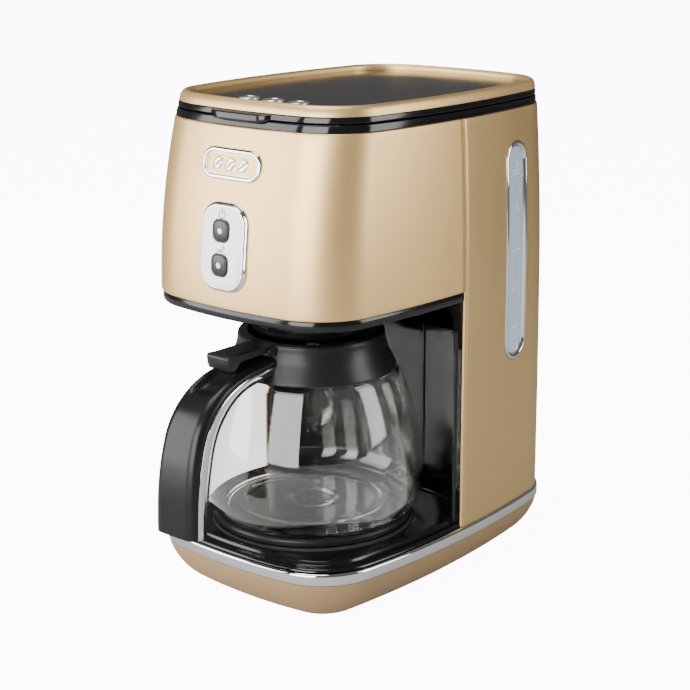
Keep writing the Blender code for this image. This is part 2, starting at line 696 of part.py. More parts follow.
def build_front_fittings():
    """Badge, control panel, buttons, lenses and control board."""
    up = HOUSING_Z + BADGE_UP
    outer = stadium(BADGE_HALF_W, BADGE_HALF_H, BADGE_HALF_H * 0.98, side_steps=3)
    inner = stadium(BADGE_HALF_W - 1.6 * MM, BADGE_HALF_H - 1.6 * MM, (BADGE_HALF_H - 1.6 * MM) * 0.98,
        side_steps=3)
    pane_h = BADGE_HALF_H - 1.6 * MM - FIT
    pane = (BADGE_HALF_W - 1.6 * MM - FIT, pane_h, pane_h * 0.98)
    loft("badge_rim", [on_front(outer, up, -FIT), on_front(outer, up, -PROUD),
        on_front(inner, up, -PROUD), on_front(inner, up, -FIT)], "chrome", closed=True)
    laid_plate("badge_plate", pane, on_front, up, (-PROUD + 0.5 * MM, -FIT), "champagne_metal", columns=4)

    up = HOUSING_Z + PANEL_UP
    radius = PANEL_HALF_W * 0.72
    outer = stadium(PANEL_HALF_W, PANEL_HALF_H, radius, side_steps=3)
    ridge = stadium(PANEL_HALF_W - 0.8 * MM, PANEL_HALF_H - 0.8 * MM, radius, side_steps=3)
    inner = stadium(PANEL_HALF_W - PANEL_RIM, PANEL_HALF_H - PANEL_RIM, radius - PANEL_RIM, side_steps=3)
    pane = (PANEL_HALF_W - PANEL_RIM - FIT, PANEL_HALF_H - PANEL_RIM - FIT, radius - PANEL_RIM - FIT)
    back = WALL + 1.5 * MM
    loft("panel_bezel", [on_front(outer, up, back), on_front(outer, up, -0.6 * MM),
        on_front(ridge, up, -PROUD),
        on_front(inner, up, -PROUD), on_front(inner, up, back)], "chrome", closed=True)
    plate = laid_plate("panel_plate", pane, on_front, up, (-PROUD + 0.5 * MM, back), "silver_plate",
        side_rows=3)
    board_y = front_y(0, up) + 12 * MM
    board = box("control_board", (-15 * MM, board_y, up - 24 * MM),
        (15 * MM, board_y + 1.6 * MM, up + 24 * MM), "board_green")
    for name, sign in (("power", 1), ("aroma", -1)):
        z = up + sign * BUTTON_GAP
        face = front_y(0, z) - 0.2 * MM
        hole = stadium(BUTTON_HALF + RUN, BUTTON_HALF + RUN, BUTTON_HALF * 0.7, 4)
        shifted = [(p.x, p.y + z) for p in hole]
        cut(plate, prism("hole_" + name, shifted, face - 9 * MM, face + 12 * MM, None))
        cap = stadium(BUTTON_HALF, BUTTON_HALF, BUTTON_HALF * 0.68, 4)
        crown = stadium(BUTTON_HALF - MM, BUTTON_HALF - MM, BUTTON_HALF * 0.6, 4)
        stem = stadium(2 * MM, 2 * MM, 1.2 * MM, 4)
        levels = [(crown, face - 0.9 * MM), (cap, face), (cap, face + 5 * MM), (stem, face + 5 * MM),
            (stem, board_y - 5.6 * MM)]
        button = loft(name + "_button", [[Vector((p.x, y, p.y + z)) for p in ring] for ring, y in levels],
            "button_grey")
        seat = [(0, -face - MM), (LENS_R + FIT, -face - MM), (LENS_R + FIT, -face + 4 * MM),
            (0, -face + 4 * MM)]
        cut(button, lathe("lens_seat_" + name, seat, None, centre=(0, 0, z), steps=16, closed=False,
            axis="Y"))
        lens = [(0, -face - MM + FIT), (LENS_R, -face - MM + FIT), (LENS_R, -face + 1.1 * MM),
            (0, -face + 1.1 * MM)]
        lathe(name + "_lens", lens, "lens_white", centre=(0, 0, z), steps=16, closed=False, axis="Y")
        switch = box("switch_" + name, (-3 * MM, board_y - 3.6 * MM, z - 3 * MM),
            (3 * MM, board_y + MM, z + 3 * MM), None)
        join(board, switch)


def build_window():
    """The water gauge's bezel and lens on the right side."""
    middle, half_h = (WINDOW_LOW + WINDOW_HIGH) / 2, (WINDOW_HIGH - WINDOW_LOW) / 2
    radius = WINDOW_HALF_W * 0.86
    outer = stadium(WINDOW_HALF_W, half_h, radius, side_steps=6)
    inner = stadium(WINDOW_HALF_W - WINDOW_RIM, half_h - WINDOW_RIM, radius - WINDOW_RIM, side_steps=6)
    pane_w, pane_h = WINDOW_HALF_W - WINDOW_RIM - FIT, half_h - WINDOW_RIM - FIT
    pane = (pane_w, pane_h, radius - WINDOW_RIM - FIT)
    back = WALL + MM
    loft("window_bezel", [on_side(outer, middle, back), on_side(outer, middle, -PROUD),
        on_side(inner, middle, -PROUD),
        on_side(inner, middle, back)], "chrome", closed=True)
    laid_plate("window_lens", pane, on_side, middle, (0.6 * MM, back), "window_blue", columns=2,
        side_rows=6)


# ==== water path ====================================================================================


def build_water_path():
    """Tank, heater, hoses and outlet."""

    def tank_ring(inset, z, front):
        half = back_half(inset, z)
        plain = outline()[len(half) // 2 :]
        kept = [p for p, q in zip(half, plain) if q.y > TANK_FRONT + 6 * MM]
        x = side_x(front, z) - inset
        return [Vector((x, front, z))] + kept + [Vector((-x, front, z))]

    gap = WALL + 2 * MM
    levels = (TANK_LOW, HOUSING_Z, HOUSING_Z + HOUSING_H * 0.5, CHAMBER_TOP)
    rings = [tank_ring(gap, z, TANK_FRONT) for z in levels]
    inner = [tank_ring(gap + WALL, z, TANK_FRONT + WALL) for z in (*reversed(levels[1:]), TANK_LOW + WALL)]
    tank = loft("water_tank", rings + inner, "tank_clear")
    spout = [(1.8 * MM, TANK_LOW - 8 * MM), (HOSE_R, TANK_LOW - 8 * MM), (HOSE_R, TANK_LOW + MM),
        (1.8 * MM, TANK_LOW + MM)]
    join(tank, lathe("tank_spout", spout, None, centre=(HOSE_X, TANK_FRONT + 12 * MM), steps=16))

    heater_z = PLATE_Z - SHEET - FIT - HEATER_R
    arc = [Vector((0, JUG_Y, heater_z)) + Vector((math.sin(t), -math.cos(t), 0)) * HEATER_BEND_R
        for t in [math.radians(-150 + 300 * i / 16) for i in range(17)]]
    first, last = arc[0], arc[-1]
    tail = heater_z - 12 * MM
    arc = [Vector((first.x + 4 * MM, first.y + 9 * MM, heater_z - 6 * MM))] + arc
    arc += [Vector((last.x - 4 * MM, last.y + 9 * MM, heater_z - 6 * MM))]
    arc = [Vector((arc[0].x, arc[0].y + MM, tail))] + arc + [Vector((arc[-1].x, arc[-1].y + MM, tail))]
    hose("heater_tube", arc, HEATER_R, "aluminium")
    low = tail - HEATER_R - HOSE_R * 2
    start = arc[-1]
    inlet = [(start.x, start.y, tail - 3 * FIT), (start.x, start.y, low),
        (HOSE_X, TANK_FRONT + 12 * MM, low),
        (HOSE_X, TANK_FRONT + 12 * MM, TANK_LOW - 8 * MM - FIT)]
    hose("inlet_hose", rounded_path(inlet, 7 * MM), HOSE_R, "silicone")
    start = arc[0]
    riser_y = BAY_DEPTH + WALL + HOSE_R + 1.4 * MM
    riser = [(start.x, start.y, tail - 3 * FIT), (start.x, start.y, low), (-HOSE_X, riser_y, low),
        (-HOSE_X, riser_y, CHAMBER_TOP - 9 * MM)]
    hose("riser_hose", rounded_path(riser, 7 * MM), HOSE_R, "silicone")
    nozzle_low = CHAMBER_TOP - 9 * MM + FIT
    nozzle = [(1.8 * MM, nozzle_low), (HOSE_R, nozzle_low), (HOSE_R, SHELL_TOP + MM),
        (1.8 * MM, SHELL_TOP + MM)]
    lathe("outlet_nozzle", nozzle, "black_satin", centre=(-HOSE_X, riser_y), steps=16)
    clamp_z = BAY_Z - CHASSIS_T - 1.2 * MM - FIT - 1.6 * MM
    clamp = box("heater_clamp", (-PLATE_R, JUG_Y - 6 * MM, clamp_z),
        (PLATE_R, JUG_Y + 6 * MM, clamp_z + 1.6 * MM), "steel")
    post = [(0, clamp_z + 0.5 * MM), (4 * MM, clamp_z + 0.5 * MM), (4 * MM, PLATE_Z - SHEET - FIT),
        (0, PLATE_Z - SHEET - FIT)]
    join(clamp, lathe("clamp_post", post, None, centre=(0, JUG_Y), steps=16, closed=False))
    can_top = heater_z - HEATER_R - FIT
    can = [(0, can_top - 7 * MM), (8 * MM, can_top - 7 * MM), (8 * MM, can_top), (0, can_top)]
    lathe("thermostat", can, "steel", centre=(0, JUG_Y - HEATER_BEND_R), steps=20, closed=False)


# ==== brew chamber ==================================================================================


def build_brewing():
    """Chamber, filter holder, mesh filter, drip valve and its spring."""
    low, seat = COLLAR_Z, TRIM_Z + WALL + FIT
    top = CHAMBER_TOP
    hole = VALVE_R * 2.6
    chamber = [(hole, low), (COLLAR_R - 1.5 * MM, low), (COLLAR_R, low + 1.5 * MM),
        (COLLAR_TOP_R - FIT, TRIM_Z),
        (COLLAR_TOP_R - FIT, seat), (COLLAR_TOP_R + 8 * MM, seat), (COLLAR_TOP_R + 8 * MM, seat + WALL),
        (CHAMBER_TOP_R + WALL - 2 * MM, top - WALL), (CHAMBER_TOP_R + 3 * WALL, top - WALL),
        (CHAMBER_TOP_R + 3 * WALL, top),
        (CHAMBER_TOP_R - 2 * MM, top), (COLLAR_TOP_R - WALL - FIT, seat),
        (COLLAR_R - WALL, low + WALL + 0.4 * MM), (hole, low + WALL + 0.4 * MM)]
    lathe("brew_chamber", chamber, "black_gloss", centre=(0, JUG_Y), steps=28)

    rim = top + FIT
    nozzle_z = low + 7 * MM
    bore = VALVE_R + RUN + 0.2 * MM
    inside = VALVE_R * 2
    spring_top = nozzle_z + 17 * MM
    nozzle_r = inside + 1.8 * MM
    cone_low = spring_top + 11 * MM
    cone_r = 24 * MM
    holder = [(bore, nozzle_z), (nozzle_r, nozzle_z), (nozzle_r, cone_low - 6 * MM),
        (cone_r + WALL, cone_low),
        (CHAMBER_TOP_R - 6 * MM, top), (CHAMBER_TOP_R + WALL, rim), (CHAMBER_TOP_R + WALL, rim + WALL),
        (CHAMBER_TOP_R - 6 * MM, rim + WALL),
        (CHAMBER_TOP_R - 8 * MM, top - WALL), (cone_r, cone_low + WALL), (inside, cone_low - 4 * MM),
        (inside, spring_top + 1.5 * MM), (2 * MM, spring_top + 1.5 * MM),
        (2 * MM, spring_top), (inside, spring_top), (inside, nozzle_z + 1.5 * MM),
        (bore, nozzle_z + 1.5 * MM)]
    lathe("filter_holder", holder, "black_satin", centre=(0, JUG_Y), steps=20)
    mesh_low, mesh_r = cone_low + WALL + FIT, cone_r - 1.5 * MM
    mesh_top, mesh_top_r = top - WALL, CHAMBER_TOP_R - 9.5 * MM
    mesh = [(0, mesh_low), (mesh_r, mesh_low), (mesh_top_r, mesh_top), (mesh_top_r - SHEET, mesh_top),
        (mesh_r - SHEET, mesh_low + SHEET), (0, mesh_low + SHEET)]
    lathe("mesh_filter", mesh, "mesh_gold", centre=(0, JUG_Y), steps=20, closed=False)

    head = nozzle_z + 1.5 * MM + FIT
    tip = JUG_TOP + 0.9 * MM
    valve = [(0, tip), (VALVE_R - MM, tip), (VALVE_R, tip + MM), (VALVE_R, head), (inside - RUN, head),
        (inside - RUN, head + 2 * MM), (0, head + 2 * MM)]
    lathe("drip_valve", valve, "black_satin", centre=(0, JUG_Y), steps=16, closed=False)
    start, end = head + 2 * MM + FIT + SPRING_WIRE_R, spring_top - FIT - SPRING_WIRE_R
    coil_r = inside - RUN - SPRING_WIRE_R - 0.4 * MM
    count = SPRING_TURNS * 8
    helix = []
    for i in range(count + 1):
        turn = 2 * math.pi * SPRING_TURNS * i / count
        helix.append(Vector((coil_r * math.cos(turn), JUG_Y + coil_r * math.sin(turn),
            start + (end - start) * i / count)))
    hose("valve_spring", helix, SPRING_WIRE_R, "steel").data.bevel_resolution = 1


# ==== top ===========================================================================================


def build_top():
    """Top deck, lid and hinge."""
    shelf = SHELL_TOP - 2.5 * MM
    deck_floor = SHELL_TOP - 0.2 * MM
    inset = WALL + FIT + 0.3 * MM
    rings = [body_ring(inset, shelf), body_ring(inset, SHELL_TOP + FIT),
        body_ring(0.8 * MM, SHELL_TOP + FIT),
        body_ring(0.8 * MM, DECK_TOP - 0.6 * MM), body_ring(1.3 * MM, DECK_TOP),
        body_ring(3.8 * MM, DECK_TOP), body_ring(3.8 * MM, deck_floor)]
    deck = loft("top_deck", rings, "black_gloss")
    basket = [(0, shelf - 5 * MM), (CHAMBER_TOP_R + 4 * MM, shelf - 5 * MM),
        (CHAMBER_TOP_R + 4 * MM, DECK_TOP), (0, DECK_TOP)]
    cut(deck, lathe("basket_opening", basket, None, centre=(0, JUG_Y), steps=28, closed=False))
    fill = stadium(58 * MM, 24 * MM, 12 * MM)
    shifted = [(p.x, p.y + 80 * MM) for p in fill]
    cut(deck, prism("fill_opening", shifted, shelf - 5 * MM, DECK_TOP, None, plane="XY"))
    riser_y = BAY_DEPTH + WALL + HOSE_R + 1.4 * MM
    port = [(0, shelf - 5 * MM), (HOSE_R + FIT, shelf - 5 * MM), (HOSE_R + FIT, DECK_TOP), (0, DECK_TOP)]
    cut(deck, lathe("riser_port", port, None, centre=(-HOSE_X, riser_y), steps=16, closed=False))

    hinge_y, hinge_z = back_reach(DECK_TOP) + HINGE_OUT, DECK_TOP + LID_GAP / 2
    lid_inset = 0.9 * MM
    ledge = 7 * MM
    rim = loft("lid_rim", [body_ring(lid_inset + 0.5 * MM, LID_Z), body_ring(lid_inset, LID_Z + 0.6 * MM),
        body_ring(lid_inset, LID_FRAME_Z - FIT),
        body_ring(ledge + 4 * MM, LID_FRAME_Z - FIT), body_ring(ledge + 4 * MM, LID_Z)], "black_gloss",
        closed=True)
    lip_pairs = []
    for i in range(9):
        x = -LIP_HALF_W + LIP_HALF_W * i / 4
        lip_pairs.append((x, front_y(x, LID_Z) + lid_inset - LIP_REACH * (1 - abs(i / 4 - 1) ** 6)))
    lip = lip_pairs + [(x, y + 4 * MM) for x, y in reversed([(x, front_y(x, LID_Z)) for x, _ in lip_pairs])]
    join(rim, prism("lid_lip", lip, LID_Z + 0.2 * MM, LID_FRAME_Z - 1.2 * MM, None, plane="XY"))
    for name, obj, low, high, spans in (
        ("lid", rim, hinge_z + 0.8 * MM, hinge_z + KNUCKLE_R - 0.2 * MM, ((-17, 17),)),
        ("deck", deck, hinge_z - KNUCKLE_R + 0.2 * MM, hinge_z - 1.0 * MM, ((-30, -18), (18, 30))),
    ):
        for start, end in spans:
            barrel = [(PIN_R + FIT, start * MM), (KNUCKLE_R, start * MM), (KNUCKLE_R, end * MM),
                (PIN_R + FIT, end * MM)]
            lug = box(f"{name}_lug_{start}", (start * MM, hinge_y - HINGE_OUT - 3 * MM, low),
                (end * MM, hinge_y - PIN_R - FIT, high), None)
            knuckle = lathe(f"{name}_knuckle_{start}", barrel, None, centre=(0, hinge_y, hinge_z),
                steps=16, axis="X")
            join(obj, lug)
            join(obj, knuckle)
    pin = [(0, -31 * MM), (PIN_R, -31 * MM), (PIN_R, 31 * MM), (0, 31 * MM)]
    lathe("hinge_pin", pin, "steel", centre=(0, hinge_y, hinge_z), steps=16, closed=False, axis="X")

    panel_top = TOP_Z - 4.2 * MM
    frame = [(0.9 * MM, LID_FRAME_Z), (0.9 * MM, LID_FRAME_Z + 3 * MM), (1.8 * MM, TOP_Z - 1.0 * MM),
        (3.2 * MM, TOP_Z),
        (5.2 * MM, TOP_Z - 0.3 * MM), (ledge - FIT, TOP_Z - 2 * MM), (ledge - FIT, LID_FRAME_Z)]
    loft("lid_frame", [body_ring(i, z) for i, z in frame], "champagne_metal", closed=True)
    panel = loft("lid_panel", [body_ring(ledge, LID_FRAME_Z), body_ring(ledge, panel_top)], "black_gloss")
    for i, name in enumerate(("left", "centre", "right")):
        centre = ((i - 1) * EYELET_PITCH, EYELET_Y)
        hole = [(0, LID_FRAME_Z - MM), (EYELET_R - 1.6 * MM + FIT, LID_FRAME_Z - MM),
            (EYELET_R - 1.6 * MM + FIT, TOP_Z), (0, TOP_Z)]
        cut(panel, lathe("vent_hole_" + name, hole, None, centre=centre, steps=20, closed=False))
        flange, throat = EYELET_R, EYELET_R - 1.6 * MM
        ring = [(throat - MM, LID_FRAME_Z), (throat, LID_FRAME_Z), (throat, panel_top + FIT),
            (flange, panel_top + FIT),
            (flange - 0.6 * MM, panel_top + 1.1 * MM), (throat - 0.4 * MM, panel_top + 0.6 * MM)]
        lathe("vent_eyelet_" + name, ring, "chrome", centre=centre, steps=16)

    liner_top = LID_FRAME_Z - FIT
    liner = loft("lid_liner", [body_ring(ledge + 4 * MM + FIT, liner_top - WALL),
        body_ring(ledge + 4 * MM + FIT, liner_top)], "black_satin")
    shower = [(0, SHELL_TOP + 1.5 * MM), (30 * MM, SHELL_TOP + 1.5 * MM), (34 * MM, SHELL_TOP + 3 * MM),
        (34 * MM, liner_top - MM), (0, liner_top - MM)]
    join(liner, lathe("shower_head", shower, None, centre=(0, JUG_Y), steps=24, closed=False))
    channel_low = (-HOSE_X - 7 * MM, JUG_Y + 20 * MM, SHELL_TOP + 2.2 * MM)
    join(liner, box("water_channel", channel_low, (6 * MM, riser_y + 8 * MM, liner_top - 0.8 * MM), None))
    for i, name in enumerate(("left", "centre", "right")):
        centre = ((i - 1) * EYELET_PITCH, EYELET_Y)
        way = [(0, SHELL_TOP), (EYELET_R - 2.6 * MM, SHELL_TOP), (EYELET_R - 2.6 * MM, TOP_Z), (0, TOP_Z)]
        cut(liner, lathe("steam_way_" + name, way, None, centre=centre, steps=16, closed=False))


# ==== jug ===========================================================================================


def glass_radius(z):
    """Outer radius of the glass at a height: foot curl, long elliptic side, then the shoulder."""
    widest = JUG_Z + JUG_FOOT_RISE
    shoulder = JUG_BAND_Z - 2 * MM
    if z < widest:
        down = (widest - z) / JUG_FOOT_RISE
        return JUG_FOOT_R + (JUG_R - JUG_FOOT_R) * math.sqrt(max(0.0, 1 - down * down))
    side = lambda h: JUG_R * math.sqrt(1 - ((h - widest) / JUG_ARC_H) ** 2)
    if z <= shoulder:
        return side(z)
    t = min(1.0, (z - shoulder) / (JUG_BAND_H - 2 * MM))
    return NECK_R + (side(shoulder) - NECK_R) * (1 - t) ** 2.2


def glass_outline():
    """(radius, height) pairs of the glass's outside, foot to rim."""
    widest, shoulder = JUG_Z + JUG_FOOT_RISE, JUG_BAND_Z - 2 * MM
    foot = [JUG_Z + JUG_FOOT_RISE * (1 - math.cos(math.radians(a))) for a in (0, 38, 64, 90)]
    side = [widest + (shoulder - widest) * i / 4 for i in range(1, 5)]
    neck = [JUG_BAND_Z + (BAND_TOP - JUG_BAND_Z) * t for t in NECK_STEPS]
    return [(glass_radius(z), z) for z in foot + side + neck]


def band_skin(high, gap=0.0):
    """(radius, height) pairs of the neck band's outside, moved outwards by gap."""
    bottom_r, top_r = glass_radius(JUG_BAND_Z) + FIT + MM + gap, LID_RING_R + 0.4 * MM + gap
    step = JUG_BAND_Z + 2 * MM
    return [(bottom_r, JUG_BAND_Z), (bottom_r - 0.4 * MM, step), (top_r, high - MM),
        (top_r - 0.6 * MM, high)]


def build_jug():
    """Glass, neck band, handle layers, hinged lid and its pin."""
    outside = glass_outline()
    inside = [(r - JUG_WALL, z) for r, z in reversed(outside[1:])]
    base = [(JUG_FOOT_R - 8 * MM, JUG_Z + 2 * MM + JUG_WALL), (0, JUG_Z + 3 * MM + JUG_WALL)]
    glass = [(0, JUG_Z + 3 * MM), (JUG_FOOT_R - 8 * MM, JUG_Z + MM)] + outside + inside + base
    lathe("jug_glass", glass, "clear_glass", centre=(0, JUG_Y), steps=28, closed=False)

    low, high = JUG_BAND_Z, BAND_TOP - 0.2 * MM
    heights = [low + (BAND_TOP - low) * t for t in NECK_STEPS[:-1]] + [high]
    bore = [(glass_radius(z) + FIT, z) for z in reversed(heights)]
    band = lathe("jug_band", band_skin(high) + bore, "black_satin", centre=(0, JUG_Y), steps=28)
    pin_y, pin_z = JUG_Y - JUG_PIN_Y, JUG_TOP - 3 * MM
    ear_in = LEVER_HALF_W + RUN
    for side in (-1, 1):
        a, b = sorted((side * ear_in, side * (ear_in + 2.4 * MM)))
        join(band, box(f"ear_{side + 1}", (a, pin_y - 4 * MM, pin_z - 8 * MM),
            (b, pin_y + 5 * MM, pin_z + 2.6 * MM), None, bevel=0.6 * MM))
    bore_pin = [(0, -20 * MM), (JUG_PIN_R + FIT, -20 * MM), (JUG_PIN_R + FIT, 20 * MM), (0, 20 * MM)]
    cut(band, lathe("ear_bore", bore_pin, None, centre=(0, pin_y, pin_z), steps=12, closed=False, axis="X"))
    half_pin = ear_in + 2.2 * MM
    pin = [(0, -half_pin), (JUG_PIN_R, -half_pin), (JUG_PIN_R, half_pin), (0, half_pin)]
    lathe("jug_lid_pin", pin, "steel", centre=(0, pin_y, pin_z), steps=12, closed=False, axis="X")
    build_handle(pin_y, pin_z)
    build_jug_lid(pin_y, pin_z)


def bezier(points, t):
    """A point on a cubic curve with four control points."""
    a, b, c, d = (Vector(p) for p in points)
    s = 1 - t
    return a * s**3 + b * 3 * s * s * t + c * 3 * s * t * t + d * t**3


def build_handle(pin_y, pin_z):
    """Three layers that follow one arch: outer grip, bright inlay and inner grip."""
    root_y = JUG_Y - 49 * MM
    front, low = HANDLE_FRONT, HANDLE_LOW
    root_top, root_low = JUG_TOP - 6.5 * MM, JUG_BAND_Z + 2.6 * MM
    outer = ((front, low), (front + 2 * MM, root_top - 30 * MM), (front + 14 * MM, root_top - 2 * MM),
        (root_y, root_top))
    leg = front + HANDLE_T
    inner = ((leg, low - MM), (leg + 6 * MM, root_low - 28 * MM), (leg + 16 * MM, root_low + 2 * MM),
        (root_y, root_low))
    steps = 12
    skin = band_skin(BAND_TOP, FIT)
    over = JUG_TOP + 9 * MM
    band_clear = [(0, JUG_BAND_Z - 9 * MM), (skin[0][0] + MM, JUG_BAND_Z - 9 * MM), *skin[:3],
        (skin[2][0], over), (0, over)]
    for name, start, end, finish_name, shrink in (
        ("handle_outer", 0.0, 0.37, "black_gloss", 0.0),
        ("handle_trim", 0.39, 0.60, "chrome", -0.25 * MM),
        ("handle_inner", 0.62, 1.0, "black_gloss", 0.6 * MM),
    ):
        rings = []
        for i in range(steps + 1):
            t = i / steps
            a, b = bezier(outer, t), bezier(inner, t)
            half = HANDLE_HALF_W + (HANDLE_ROOT_HALF_W - HANDLE_HALF_W) * t - shrink
            near, far = a.lerp(b, start), a.lerp(b, end)
            if name == "handle_outer":
                section = [(-1, 1.0), (-1, 0.45), (-0.72, 0.08), (-0.3, 0.0), (0.3, 0.0), (0.72, 0.08),
                    (1, 0.45), (1, 1.0)]
            elif name == "handle_inner":
                section = [(-1, 0.0), (-1, 0.55), (-0.7, 1.0), (0.7, 1.0), (1, 0.55), (1, 0.0)]
            else:
                section = [(-1, 0.0), (-1, 1.0), (1, 1.0), (1, 0.0)]
            ring = []
            for across, depth in section:
                p = near.lerp(far, depth)
                ring.append(Vector((across * half, p.x, p.y)))
            rings.append(ring)
        rings.append([Vector((v.x, JUG_Y - NECK_R - MM, v.z)) for v in rings[-1]])
        layer = loft(name, rings, finish_name)
        cut(layer, lathe("band_room_" + name, band_clear, None, centre=(0, JUG_Y), steps=28, closed=False))
        if name == "handle_outer":
            pocket_low = (-LEVER_HALF_W - MM, pin_y - 40 * MM, pin_z - 14 * MM)
            cut(layer, box("lever_pocket", pocket_low, (LEVER_HALF_W + MM, pin_y - 20 * MM,
                pin_z + 9 * MM), None))
            ears = LEVER_HALF_W + RUN + 2.4 * MM + FIT
            cut(layer, box("ear_room", (-ears, pin_y - 4 * MM - FIT, pin_z - 8 * MM - FIT),
                (ears, pin_y + 20 * MM, pin_z + 9 * MM), None))


def build_jug_lid(pin_y, pin_z):
    """Dished lid with its thumb lever, as one moulding."""
    plug_r = NECK_R - JUG_WALL - 0.6 * MM
    floor = JUG_TOP - DISH_DEPTH
    profile = [(5 * MM, floor - WALL), (plug_r - MM, floor - WALL), (plug_r, floor),
        (plug_r, BAND_TOP + FIT), (LID_RING_R, BAND_TOP + FIT),
        (LID_RING_R, BAND_TOP + 2 * MM), (LID_RING_R - 1.2 * MM, JUG_TOP),
        (LID_RING_R - 2.4 * MM, JUG_TOP), (plug_r - 1.2 * MM, BAND_TOP + 0.5 * MM),
        (plug_r - 1.6 * MM, floor), (5 * MM, floor)]
    lid = lathe("jug_lid", profile, "black_satin", centre=(0, JUG_Y), steps=28)
    root = JUG_Y - LID_RING_R + 2.2 * MM
    tip = JUG_Y - LEVER_REACH
    top, low = JUG_TOP + 0.4 * MM, BAND_TOP + FIT
    side = [(root, low), (root, top), (tip + 4 * MM, top), (tip, top - 0.8 * MM), (tip, top - 4 * MM),
        (tip + 2 * MM, low - 5.4 * MM), (tip + 7 * MM, low - 5.2 * MM), (tip + 10 * MM, low - 1.2 * MM),
        (tip + 14 * MM, low)]
    lever = prism("lever", side, -LEVER_HALF_W, LEVER_HALF_W, None, plane="YZ")
    join(lid, lever)
    bore = [(0, -20 * MM), (JUG_PIN_R + FIT, -20 * MM), (JUG_PIN_R + FIT, 20 * MM), (0, 20 * MM)]
    cut(lid, lathe("lever_bore", bore, None, centre=(0, pin_y, pin_z), steps=12, closed=False, axis="X"))


def main():
    """Builds the whole machine at rest."""
    for old in list(bpy.data.objects):
        bpy.data.objects.remove(old)
    frame = bpy.data.objects.new("machine", None)
    frame.location = (0, BODY_Y, 0)
    bpy.context.scene.collection.objects.link(frame)
    build_base()
    build_bay()
    build_housing_trim()
    build_shells()
    build_front_fittings()
    build_window()
    build_water_path()
    build_brewing()
    build_top()
    build_jug()


main()
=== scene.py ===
"""Looks of the drip coffee maker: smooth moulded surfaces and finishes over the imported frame.

Lengths are in metres, +Z is up and -Y is the front. Every sub-assembly is a class whose fields are its
sizes. Surfaces are grids or carried profiles worked out as whole arrays.
"""

import logging
import math
from dataclasses import dataclass, field
from enum import Enum
from typing import Sequence

import bpy
import numpy as np
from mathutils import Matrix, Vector
from mathutils.geometry import tessellate_polygon


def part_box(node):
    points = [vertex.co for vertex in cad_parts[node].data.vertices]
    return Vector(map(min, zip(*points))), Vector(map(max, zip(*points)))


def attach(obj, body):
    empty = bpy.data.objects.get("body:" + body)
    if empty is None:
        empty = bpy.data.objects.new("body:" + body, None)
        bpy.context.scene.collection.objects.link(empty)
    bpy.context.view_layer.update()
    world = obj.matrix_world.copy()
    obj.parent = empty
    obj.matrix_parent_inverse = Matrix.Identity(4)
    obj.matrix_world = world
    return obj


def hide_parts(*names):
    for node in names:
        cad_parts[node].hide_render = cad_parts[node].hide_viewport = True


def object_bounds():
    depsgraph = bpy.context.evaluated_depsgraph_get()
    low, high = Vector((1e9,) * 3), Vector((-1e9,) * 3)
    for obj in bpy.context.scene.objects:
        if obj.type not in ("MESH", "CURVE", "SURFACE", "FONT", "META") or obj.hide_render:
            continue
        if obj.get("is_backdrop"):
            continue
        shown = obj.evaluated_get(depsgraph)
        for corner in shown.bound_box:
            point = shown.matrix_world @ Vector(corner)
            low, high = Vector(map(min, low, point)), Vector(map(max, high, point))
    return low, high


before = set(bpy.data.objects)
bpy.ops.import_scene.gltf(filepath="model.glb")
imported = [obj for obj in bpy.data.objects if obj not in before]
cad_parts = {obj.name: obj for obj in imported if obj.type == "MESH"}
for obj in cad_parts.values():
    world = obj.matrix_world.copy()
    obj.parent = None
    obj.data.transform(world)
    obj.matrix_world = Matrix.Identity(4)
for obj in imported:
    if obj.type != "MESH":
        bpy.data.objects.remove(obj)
CAD_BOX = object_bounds()
LOG = logging.getLogger("coffee_maker")
MM = 0.001
Array = np.ndarray


# ---- shapes ----------------------------------------------------------------------------------------


